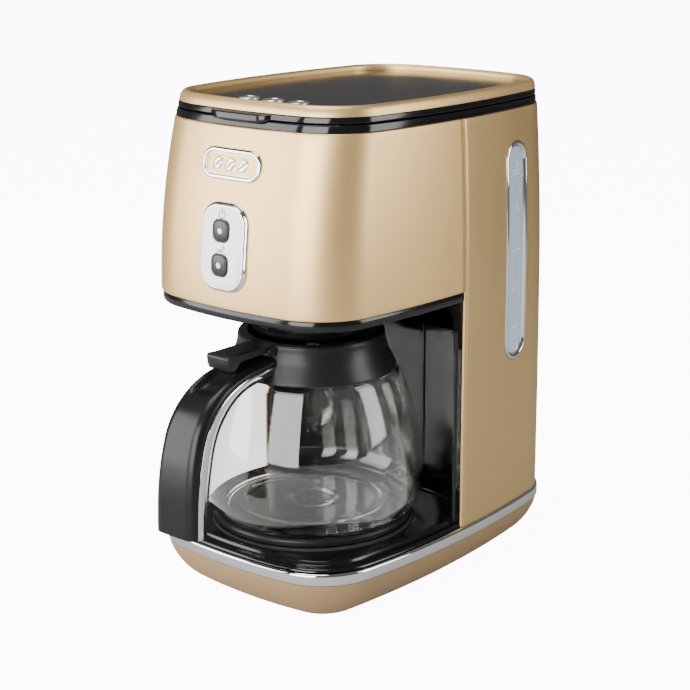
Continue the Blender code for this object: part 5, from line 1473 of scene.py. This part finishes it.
    def stroke(self, name: str, path: Array, width: float, closed: bool = False) -> None:
        """A printed line on the plate: a thin raised ribbon along a path.

        Args:
            name: the piece's name.
            path: pairs across and up, about the plate's middle.
            width: the line's width.
            closed: whether the path's ends meet.
        """
        ahead = np.roll(path, -1, 0) - np.roll(path, 1, 0)
        if not closed:
            ahead[0], ahead[-1] = path[1] - path[0], path[-1] - path[-2]
        ahead /= np.linalg.norm(ahead, axis=1)[:, None]
        side = np.column_stack([-ahead[:, 1], ahead[:, 0]]) * width / 2
        rows = []
        for offset, lift in ((side, 2.7), (side, 3.03), (-side, 3.03), (-side, 2.7)):
            rows.append(self.laid(path + offset, self.panel_z, lift * MM))
        p = np.stack(rows).transpose(1, 0, 2)
        shape = Shape()
        if closed:
            shape.grid(p, wrap_rows=True)
        else:
            shape.solid(p)
        shape.object(name, Look.INK, "machine", sharp=60)

    def build_marks(self) -> None:
        """The printed power sign over the upper button and a small cup sign between the two."""
        t = np.radians(np.linspace(125, 415, 40))
        middle = np.array([0, 20.6 * MM])
        self.stroke("mark_power_ring", middle + 2.5 * MM * np.column_stack([np.cos(t), np.sin(t)]), 0.62 * MM)
        self.stroke("mark_power_bar", middle + np.array([(0, 0.2), (0, 1.6), (0, 3.4)]) * MM, 0.62 * MM)
        cup = filleted([(-2.4, 1.6), (-2.4, 1.6), (-2.0, -1.2), (2.0, -1.2), (2.4, 1.6), (-2.4, 1.6)],
            [0.01, 0.1, 1.2, 1.2, 0.1, 0.01], 6, closed=False) * MM
        self.stroke("mark_cup", cup[1:-1], 0.55 * MM)
        self.stroke("mark_cup_saucer", np.array([(-3.4, -2.1), (0, -2.1), (3.4, -2.1)]) * MM, 0.55 * MM)
        ear = np.radians(np.linspace(80, -70, 12))
        self.stroke("mark_cup_ear", np.column_stack([2.4 + 1.2 * np.cos(ear),
            0.3 + 0.9 * np.sin(ear)]) * MM, 0.45 * MM)

    def build(self) -> None:
        """Builds every piece of the front."""
        self.build_badge()
        self.build_panel()
        self.build_buttons()
        self.build_marks()


@dataclass
class Gauge:
    """The water gauge on the column's right side."""

    form: Form
    half_w: float = 13.2 * MM
    low: float = 146.0 * MM
    high: float = 293.0 * MM
    y: float = 61.0 * MM
    margin: float = 3.5 * MM
    first_line: float = 22.0 * MM
    pitch: float = 26.5 * MM
    digit_h: float = 5.0 * MM

    def laid(self, edge: Array, lift: float) -> Array:
        """Lays an outline on the column's side.

        Args:
            edge: pairs along and up, about the gauge's middle.
            lift: distance outside the side.

        Returns:
            Points n x 3.
        """
        y = self.form.middle_y + self.y + edge[:, 0]
        z = (self.low + self.high) / 2 + edge[:, 1]
        return np.column_stack([self.form.side_at(y, z) + lift, y, z])

    def build(self) -> None:
        """Builds the bezel, the pane, its level lines and its numbers."""
        half_h = (self.high - self.low) / 2
        corner = self.half_w * 0.97

        def ring(margin: float, lift: float) -> Array:
            """One ring of the gauge at a margin and a lift."""
            return self.laid(squircle(self.half_w - margin, half_h - margin, corner - margin, 16, 24), lift)

        section = filleted([(-0.3, -3), (-0.3, 0.5), (0.9, 1.1), (2.0, 0.9), (3.2, -1.2), (3.4, -3)],
            [0.1, 0.5, 0.7, 0.8, 0.4, 0.1], 5) * MM
        rings = np.stack([ring(m, v) for m, v in section])
        bezel = Shape().solid(rings, wrap_rows=True)
        bezel.object("gauge_bright_bezel", Look.CHROME, "machine", ["window_bezel"])
        edge = squircle(self.half_w - self.margin, half_h - self.margin, corner - self.margin, 16, 24)
        crown = ((1, -2.8), (1, -0.9), (0.9, -0.55), (0.7, -0.3), (0.45, -0.15), (0.2, -0.1), (0.03, -0.1))
        rings = [self.laid(edge * np.array([k, 1 - (1 - k) * 0.12]), v * MM) for k, v in crown]
        Shape().solid(np.stack(rings)).object("gauge_pane", Look.PANE, "machine", ["window_lens"])
        for i, label in enumerate(("2", "4", "6", "8", "10")):
            z = self.first_line + i * self.pitch - half_h
            bars = (0.0, -2.2 * MM) if label == "10" else (0.0,)
            for k, drop in enumerate(bars):
                bar = squircle(4.2 * MM, 0.32 * MM, 0.3 * MM, 3, 2)
                bar[:, 1] += z + drop
                top = self.laid(bar * np.array([0.96, 1]), 0.03 * MM)
                rings = np.stack([self.laid(bar, -0.35 * MM), self.laid(bar, 0.0), top])
                Shape().solid(rings).object(f"gauge_line_{label}_{k}", Look.PRINT, "machine", sharp=60)
            self.number(label, z + 1.6 * MM)

    def number(self, label: str, z: float) -> None:
        """A printed number over its line.

        Args:
            label: the digits.
            z: height of its foot above the gauge's middle.
        """
        curve = bpy.data.curves.new("digits", "FONT")
        curve.body = label
        curve.size = self.digit_h
        curve.extrude = 0.05 * MM
        curve.align_x = "CENTER"
        text = bpy.data.objects.new("digits", curve)
        mesh = bpy.data.meshes.new_from_object(text)
        bpy.data.objects.remove(text)
        co = np.zeros(len(mesh.vertices) * 3, np.float32)
        mesh.vertices.foreach_get("co", co)
        co = co.reshape(-1, 3)
        laid = self.laid(np.column_stack([co[:, 0], co[:, 1] + z]), 0.0)
        laid[:, 0] += co[:, 2] - 0.02 * MM
        mesh.vertices.foreach_set("co", laid.astype(np.float32).reshape(-1))
        mesh.update()
        made = bpy.data.objects.new("gauge_number_" + label, mesh)
        bpy.context.scene.collection.objects.link(made)
        dress(made, Look.PRINT, "machine")


@dataclass
class Brewing:
    """The glossy collar over the jug."""

    form: Form

    def build(self) -> None:
        """The chamber with its collar: the same profile as the frame's, with its corners rounded."""
        low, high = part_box("brew_chamber")
        f = self.form
        centre = ((low.x + high.x) / 2, (low.y + high.y) / 2)
        z, seat, top = low.z, f.trim_z + 2.3 * MM, high.z
        outer = (high.x - low.x) / 2
        corners = np.array(
            [
                (8.0 * MM, z), (38 * MM, z), (39.5 * MM, z + 1.5 * MM), (41.2 * MM, z + 9 * MM),
                (42.0 * MM, z + 9.6 * MM), (43.5 * MM, f.trim_z - 1 * MM),
                (43.5 * MM, seat), (52 * MM, seat), (52 * MM, seat + 2 * MM), (58 * MM, top - 2 * MM),
                (outer, top - 2 * MM), (outer, top), (56 * MM, top),
                (41.7 * MM, seat + 0.3 * MM), (37.5 * MM, z + 2.4 * MM), (8.0 * MM, z + 2.4 * MM),
            ]
        )
        profile = filleted(corners, [0.6 * MM, 1.2 * MM, 1.0 * MM, 0.5 * MM] + [0.5 * MM] * 12, 4)
        Shape().solid(spun(profile, centre), wrap_rows=True).object("brew_collar", Look.GLOSS, "machine",
            ["brew_chamber"])


@dataclass
class Jug:
    """The glass, its neck band, lid with thumb lever, and the layered handle."""

    form: Form
    wall: float = 2.2 * MM
    foot_r: float = 60.0 * MM
    foot_rise: float = 17.0 * MM
    side_arc: float = 125.0 * MM
    neck_r: float = 45.2 * MM
    shoulder_h: float = 18.0 * MM
    shoulder_power: float = 2.2
    band_top_r: float = 48.3 * MM
    lid_drop: float = 21.9 * MM
    lid_depth: float = 11.0 * MM
    grip_half_w: float = 16.5 * MM
    grip_taper: float = 3.0 * MM
    marks: tuple[float, ...] = (70.0, 84.0, 98.0, 112.0, 126.0)

    def __post_init__(self) -> None:
        """Reads where the jug stands from the frame."""
        low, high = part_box("jug_glass")
        self.z0, self.r = low.z, (high.x - low.x) / 2
        self.centre = (0.0, self.form.jug_y + self.form.middle_y)
        self.band_low, self.band_high = (v.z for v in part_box("jug_band"))
        self.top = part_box("jug_glass")[1].z

    def radius(self, z: Array) -> Array:
        """Outer radius of the glass: elliptic foot, elliptic side, and a shoulder that fades to the neck.

        Args:
            z: heights.

        Returns:
            Radii.
        """
        rise, arc = self.foot_rise, self.side_arc
        widest = self.z0 + rise
        shoulder = self.band_low - 2 * MM
        down = np.clip((widest - z) / rise, 0, 1)
        foot = self.foot_r + (self.r - self.foot_r) * np.sqrt(1 - down**2)
        side = self.r * np.sqrt(np.clip(1 - ((z - widest) / arc) ** 2, 0, 1))
        t = np.clip((z - shoulder) / self.shoulder_h, 0, 1)
        last = self.r * math.sqrt(1 - ((shoulder - widest) / arc) ** 2)
        neck_r = self.neck_r + (last - self.neck_r) * (1 - t) ** self.shoulder_power
        return np.where(z < widest, foot, np.where(z <= shoulder, side, neck_r))

    def glass(self) -> None:
        """The blown glass: outer wall, rolled lip, inner wall and a dished floor with two moulded rings."""
        turn = np.linspace(0, np.pi / 2, 20)
        foot = self.z0 + self.foot_rise * (1 - np.cos(turn))
        z = np.concatenate([foot, np.linspace(foot[-1], self.band_low - 2 * MM, 34)[1:],
            np.linspace(self.band_low - 2 * MM, self.top - 1 * MM, 18)[1:]])
        r = self.radius(z)
        outer = np.column_stack([r, z])
        lip = np.array([(r[-1] - 0.3 * MM, self.top - 0.3 * MM), (r[-1] - self.wall / 2, self.top),
            (r[-1] - self.wall + 0.3 * MM, self.top - 0.3 * MM)])
        inner = np.column_stack([r - self.wall, z])[::-1][:-9]
        s = np.linspace(0, 1, 72)[:-1]
        start = inner[-1]
        floor_r = start[0] * (1 - s)
        small = 1.3 * MM * np.exp(-(((floor_r - 15 * MM) / (2.0 * MM)) ** 2))
        large = 1.2 * MM * np.exp(-(((floor_r - 47 * MM) / (2.6 * MM)) ** 2))
        low = self.z0 + 3.4 * MM
        floor_z = low + (start[1] - low) * (1 - s) ** 8 + 1.6 * MM * s**2 + small + large
        floor = np.column_stack([floor_r, floor_z])
        under_r = np.linspace(0, 1, 26)[1:-1] * (outer[0, 0] - 1 * MM)
        under = np.column_stack([under_r, self.z0 + 3.0 * MM * (1 - (under_r / outer[0, 0]) ** 4)])
        profile = np.concatenate([under, outer, lip, inner, floor[1:]])
        Shape().solid(spun(profile, self.centre, 160)).object("jug_blown_glass", Look.GLASS, "jug",
            ["jug_glass"], sharp=60)

    def band(self) -> None:
        """The neck band: a cone with a rolled foot and a rounded shoulder, hollow over the glass."""
        low, high = self.band_low, self.band_high
        z = np.linspace(high - 0.4 * MM, low + 0.2 * MM, 20)
        bore = np.column_stack([self.radius(z) + 0.25 * MM, z])
        bottom = bore[-1, 0] + 0.2 * MM
        r_top = self.band_top_r
        skin = through([(bottom, low), (bottom + 0.7 * MM, low + 0.5 * MM),
            (bottom + 0.4 * MM, low + 1.8 * MM), (52.3 * MM, low + 8.5 * MM), (49.9 * MM, low + 14 * MM),
            (48.7 * MM, low + 19.0 * MM), (r_top, high - 0.9 * MM), (r_top - 0.6 * MM, high)], 44)
        profile = np.concatenate([skin, bore])
        Shape().solid(spun(profile, self.centre), wrap_rows=True).object("jug_neck_band", Look.SATIN, "jug",
            ["jug_band"])

    def lid(self) -> None:
        """The lid: a rolled ring, a dished floor and a centre hole under the drip valve."""
        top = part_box("jug_band")[1].z + 0.4 * MM
        jug_top = self.form.trim_z - self.lid_drop
        floor = jug_top - self.lid_depth
        corners = [(5, floor / MM - 2), (41.4, floor / MM - 2), (42.4, floor / MM), (42.4, top / MM),
            (47.9, top / MM), (47.9, jug_top / MM - 1.4), (46.6, jug_top / MM), (45.3, jug_top / MM),
            (41.6, top / MM + 0.6), (40.6, floor / MM), (5, floor / MM)]
        profile = filleted(corners, [0.4, 1, 1, 0.4, 0.6, 1.0, 0.9, 0.9, 1.5, 2.0, 0.6], 4) * MM
        Shape().solid(spun(profile, self.centre), wrap_rows=True).object("jug_lid_dish", Look.SATIN, "jug",
            ["jug_lid"])

    def ears(self) -> None:
        """The neck band's two ears: a side profile rounded about the lid's pin, a few millimetres wide."""
        low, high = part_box("jug_lid_pin")
        y, z = (low.y + high.y) / 2, (low.z + high.z) / 2
        t = np.radians(np.linspace(90, 270, 18))
        side = np.column_stack([y + 2.3 * MM * np.cos(t), z + 2.3 * MM * np.sin(t)])
        root = self.centre[1] - 46.5 * MM
        side = np.concatenate([side, [(root, z - 3.4 * MM), (root, z + 2.3 * MM)]])
        for name, sign in (("left", -1), ("right", 1)):
            ends = (high.x - 2.4 * MM, high.x + 0.1 * MM)
            rings = np.stack([np.column_stack([np.full(len(side), sign * x), side]) for x in ends])
            ear = Shape().solid(rings).object("jug_hinge_ear_" + name, Look.SATIN, "jug", sharp=40)
            soften(ear, 0.35 * MM)

    def lever(self) -> None:
        """The thumb lever: a tongue's side profile, with a rounded tip and a prong, carried across."""
        jug_top = self.form.trim_z - self.lid_drop
        y0 = self.centre[1]
        side = filleted(
            [
                (-44.5, -3.6), (-44.5, 0.2), (-60, 0.35), (-78, 0.4), (-84, 0.5), (-87.2, 0.9),
                (-88.6, -0.6), (-88.2, -4.2),
                (-86.6, -9.0), (-82.0, -8.8), (-79.2, -5.4), (-75.5, -4.6), (-60, -4.2),
            ],
            [0.6, 0.8, 5, 6, 2, 0.9, 0.9, 1.2, 1.0, 1.2, 1.6, 1.6, 3], 5,
        ) * MM
        run = -side[:, 0] * 1000
        half = np.interp(run, [44, 50, 60, 78, 84, 89], [10.0, 9.4, 9.2, 9.4, 10.0, 9.4]) * MM
        shape = Shape()
        s = np.array([-1, -0.94, -0.8, -0.4, 0, 0.4, 0.8, 0.94, 1])
        shrink = np.array([0.9, 0.35, 0.0, 0.0, 0.0, 0.0, 0.0, 0.35, 0.9]) * MM
        middle = side.mean(0)
        rings = []
        for a, k in zip(s, shrink):
            pull = (side - middle) / np.maximum(np.linalg.norm(side - middle, axis=1), 1e-6)[:, None] * k
            q = side - pull
            rings.append(np.column_stack([a * half, y0 + q[:, 0], jug_top + q[:, 1]]))
        start = shape.grid(np.stack(rings))
        n = len(side)
        tri = filling_triangles(side)
        shape.faces += [tri[:, ::-1] + start, tri + start + (len(s) - 1) * n]
        shape.object("jug_thumb_lever", Look.SATIN, "jug", sharp=45)

    def curves(self, steps: int = 64) -> tuple[Array, Array]:
        """The handle's outer and inner side curves, foot to root, as (y, z) pairs.

        Args:
            steps: points in each.

        Returns:
            Outer and inner curves.
        """
        shift = np.array([self.form.middle_y, 0])
        outer = through(np.array([(-177.6, 68.6), (-177.6, 80), (-177, 95), (-175.4, 108), (-173, 120),
            (-168.4, 134), (-160.5, 146), (-149, 155.5), (-135, 161.8), (-117, 165.6),
            (-97.4, 167.4)]) * MM, steps)
        inner = through(np.array([(-163.6, 67.9), (-162.2, 80), (-160.2, 93), (-157, 109), (-152.6, 124),
            (-145.8, 136), (-134.6, 146.6), (-121, 152.4), (-108, 153.6), (-100, 153.6),
            (-97.0, 153.6)]) * MM, steps)
        return outer + shift, inner + shift

    def layer(
        self, name: str, look: Look, start: tuple[float, float], end: tuple[float, float], section: Array,
        node: str, proud: float = 0.0, pocket: float = 0.0
    ) -> None:
        """One layer of the handle: a closed section carried from foot to root between two depths of the arch.

        Args:
            name: the piece's name.
            look: its finish.
            start: depth of the layer's outer face at foot and root, 0 at the outer curve and 1 at the inner.
            end: depth of its inner face at foot and root.
            section: (across, depth) pairs, each from -1 to 1 and 0 to 1.
            node: the frame node that it stands for.
            proud: how far its flanks stand out of the handle's.
            pocket: how deep the dent under the thumb lever is: a bell of the fourth power along and across.
        """
        outer, inner = self.curves(96)
        t = np.linspace(0, 1, len(outer))
        half = self.grip_half_w - self.grip_taper * t**1.5 + proud
        near = outer + (inner - outer) * (start[0] + (start[1] - start[0]) * t)[:, None]
        far = outer + (inner - outer) * (end[0] + (end[1] - end[0]) * t)[:, None]
        yz = near[:, None] + (far - near)[:, None] * section[None, :, 1:2]
        x = section[None, :, 0] * half[:, None]
        p = np.concatenate([x[..., None], yz], -1)
        along, across = np.exp(-(((t - 0.705) / 0.075) ** 4)), np.exp(-((x / (8.6 * MM)) ** 6))
        bell = along[:, None] * across * (section[None, :, 1] < 0.5)
        inward = (inner - outer) / np.linalg.norm(inner - outer, axis=1)[:, None]
        p[..., 1:] += inward[:, None] * (bell * pocket)[..., None]
        Shape().solid(p).object(name, look, "jug", [node])

    def handle(self) -> None:
        """The outer grip with big soft corners, the bright inlay on both flanks and the inner grip."""
        t = np.linspace(0, np.pi / 2, 12)
        corner = np.column_stack([-1 + 0.42 * (1 - np.cos(t)), 0.75 - 0.75 * np.sin(t)])
        crown = np.column_stack([np.linspace(-0.57, 0.57, 27), np.zeros(27)])
        outer = np.concatenate([[(-1, 1)], corner, crown, corner[::-1] * np.array([-1, 1]), [(1, 1)]])
        outer[:, 1] = np.clip(outer[:, 1], 0, 1)
        self.layer("handle_grip_outer", Look.GRIP, (0.0, 0.0), (0.365, 0.40), outer, "handle_outer",
            pocket=4.6 * MM)
        strip = filleted([(-1, 0), (-1, 1), (1, 1), (1, 0)], 0.05, 3)
        self.layer("handle_bright_inlay", Look.CHROME, (0.37, 0.405), (0.84, 0.72), strip, "handle_trim",
            0.2 * MM)
        inner = filleted([(-0.985, 0), (-0.985, 0.6), (-0.6, 1), (0.6, 1), (0.985, 0.6), (0.985, 0)],
            [0.02, 0.2, 0.3, 0.3, 0.2, 0.02], 6)
        self.layer("handle_grip_inner", Look.GRIP, (0.845, 0.725), (1.0, 1.0), inner, "handle_inner")

    def level_marks(self) -> None:
        """Faint printed lines on the glass, left of the handle, that follow its curve."""
        for i, h in enumerate(self.marks):
            z = h * MM
            width = 9 * MM if i % 2 == 0 else 6 * MM
            t = np.linspace(-1, 1, 12)
            r = float(self.radius(np.array([z]))[0]) + 0.03 * MM
            a = math.radians(-90 - 36) + t * width / 2 / r
            rows = []
            for lift, dz in ((-0.02, -0.25), (0.06, -0.25), (0.06, 0.25), (-0.02, 0.25)):
                rr = r + lift * MM
                rows.append(np.column_stack([self.centre[0] + rr * np.cos(a),
                    self.centre[1] + rr * np.sin(a), np.full(len(a), z + dz * MM)]))
            Shape().solid(np.stack(rows).transpose(1, 0, 2)).object(f"glass_line_{i}", Look.PRINT, "jug",
                sharp=60)

    def build(self) -> None:
        """Builds every piece of the jug."""
        self.glass()
        self.band()
        self.lid()
        self.ears()
        self.lever()
        self.handle()
        self.level_marks()


def filling_triangles(outline: Array) -> Array:
    """Triangles that fill a flat outline of any shape.

    Args:
        outline: corners as n x 2.

    Returns:
        Indices as m x 3.
    """
    return np.array(tessellate_polygon([[Vector((x, y, 0)) for x, y in outline]]))


@dataclass
class Inner:
    """The frame's own nodes that stay as they are and only get their finish."""

    looks: dict[str, Look] = field(
        default_factory=lambda: {
            "base_plate": Look.SATIN, "chassis_plate": Look.SATIN, "outlet_nozzle": Look.SATIN,
            "filter_holder": Look.SATIN, "drip_valve": Look.SATIN, "lid_liner": Look.SATIN,
            "top_deck": Look.GLOSS, "water_tank": Look.TANK, "cord_gland": Look.RUBBER,
            "plate_seal": Look.RUBBER, "inlet_hose": Look.SILICONE, "riser_hose": Look.SILICONE,
            "heater_tube": Look.CAST, "heater_clamp": Look.STEEL, "thermostat": Look.STEEL,
            "valve_spring": Look.STEEL, "hinge_pin": Look.STEEL, "jug_lid_pin": Look.STEEL,
            "control_board": Look.BOARD, "mesh_filter": Look.MESH,
        }
    )

    def build(self) -> None:
        """Dresses every node that is still shown."""
        for name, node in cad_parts.items():
            if node.hide_render:
                continue
            look = self.looks.get(name, Look.RUBBER if name.startswith("foot") else Look.STEEL)
            node.data.materials.clear()
            node.data.materials.append(look.material())
            LOG.info("%s keeps its shape in %s", name, look.name)


@dataclass
class Studio:
    """The camera, a pale floor and soft lights."""

    camera_at: tuple[float, float, float] = (0.6974, -0.8150, 0.4574)
    aim: tuple[float, float, float] = (0.0, 0.0235, 0.165)
    lens: float = 86.905
    shift: tuple[float, float] = (-0.01926, -0.02547)
    floor_glow: float = 11.0
    glass_glow: float = 1.6
    ambient: float = 0.14
    lamps: tuple[tuple[str, tuple[float, float, float], tuple[float, float, float], tuple[float, float],
        float], ...] = (
        ("key_softbox", (0.20, -1.32, 0.50), (0.0, 0.0, 0.18), (0.95, 0.9), 29.0),
        ("left_softbox", (-0.72, -0.92, 0.42), (0.0, 0.0, 0.16), (0.70, 0.9), 16.0),
        ("side_softbox", (1.05, 0.50, 0.55), (0.05, 0.05, 0.16), (0.45, 0.9), 9.0),
        ("overhead", (-0.2, -0.3, 1.6), (0.0, 0.0, 0.2), (1.0, 0.8), 16.0),
    )

    def camera(self) -> None:
        """The camera, aimed at the body's middle."""
        data = bpy.data.cameras.new("camera")
        data.lens = self.lens
        data.shift_x, data.shift_y = self.shift
        data.clip_end = 20
        made = bpy.data.objects.new("camera", data)
        made.location = self.camera_at
        made.rotation_euler = (Vector(self.aim) - Vector(self.camera_at)).to_track_quat("-Z", "Y").to_euler()
        bpy.context.scene.collection.objects.link(made)
        bpy.context.scene.camera = made

    def floor(self) -> None:
        """A wide pale floor that looks evenly white when seen straight on or through glass."""
        mesh = bpy.data.meshes.new("floor")
        mesh.from_pydata([(-6, -6, 0), (6, -6, 0), (6, 6, 0), (-6, 6, 0)], [], [(0, 1, 2, 3)])
        made = bpy.data.objects.new("floor", mesh)
        bpy.context.scene.collection.objects.link(made)
        paint = bpy.data.materials.new("floor")
        paint.use_nodes = True
        tree = paint.node_tree
        shader = tree.nodes["Principled BSDF"]
        shader.inputs["Roughness"].default_value = 0.9
        shader.inputs["Emission Color"].default_value = (1, 1, 1, 1)
        path = put(tree, "LightPath")
        direct = put(tree, "Math", {0: path.outputs["Is Camera Ray"], 1: self.floor_glow},
            operation="MULTIPLY")
        through = put(tree, "Math", {0: path.outputs["Is Transmission Ray"], 1: self.glass_glow},
            operation="MULTIPLY")
        glow = put(tree, "Math", {0: direct.outputs[0], 1: through.outputs[0]}, operation="ADD")
        tree.links.new(glow.outputs[0], shader.inputs["Emission Strength"])
        tone = mix(tree, path.outputs["Is Glossy Ray"], (0.6, 0.6, 0.6, 1), (0.45, 0.45, 0.45, 1))
        tree.links.new(tone, shader.inputs["Base Color"])
        mesh.materials.append(paint)
        made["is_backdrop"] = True

    def light(self, name: str, at: Sequence[float], aim: Sequence[float], size: tuple[float, float],
        power: float) -> None:
        """A soft rectangular light.

        Args:
            name: the light's name.
            at: where it hangs.
            aim: what it points at.
            size: its width and height.
            power: its power in watts.
        """
        data = bpy.data.lights.new(name, "AREA")
        data.shape = "RECTANGLE"
        data.size, data.size_y = size
        data.energy = power
        made = bpy.data.objects.new(name, data)
        made.location = at
        made.rotation_euler = (Vector(aim) - Vector(at)).to_track_quat("-Z", "Y").to_euler()
        bpy.context.scene.collection.objects.link(made)

    def build(self) -> None:
        """Sets the whole studio."""
        self.camera()
        self.floor()
        world = bpy.data.worlds.new("studio")
        world.use_nodes = True
        world.node_tree.nodes["Background"].inputs["Color"].default_value = (1, 1, 1, 1)
        world.node_tree.nodes["Background"].inputs["Strength"].default_value = self.ambient
        bpy.context.scene.world = world
        for lamp in self.lamps:
            self.light(*lamp)


def main() -> None:
    """Builds the studio and every sub-assembly in order."""
    logging.basicConfig(level=logging.INFO, format="%(name)s: %(message)s")
    form = Form()
    Studio().build()
    for part in (Base(form), Bay(form), Shells(form), Lid(form), Front(form), Gauge(form), Brewing(form),
        Jug(form)):
        part.build()
        LOG.info("%s is complete", type(part).__name__)
    Inner().build()
    [[list(map(float, c)) for c in b] for b in (CAD_BOX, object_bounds())]


if __name__ == "__main__":
    main()
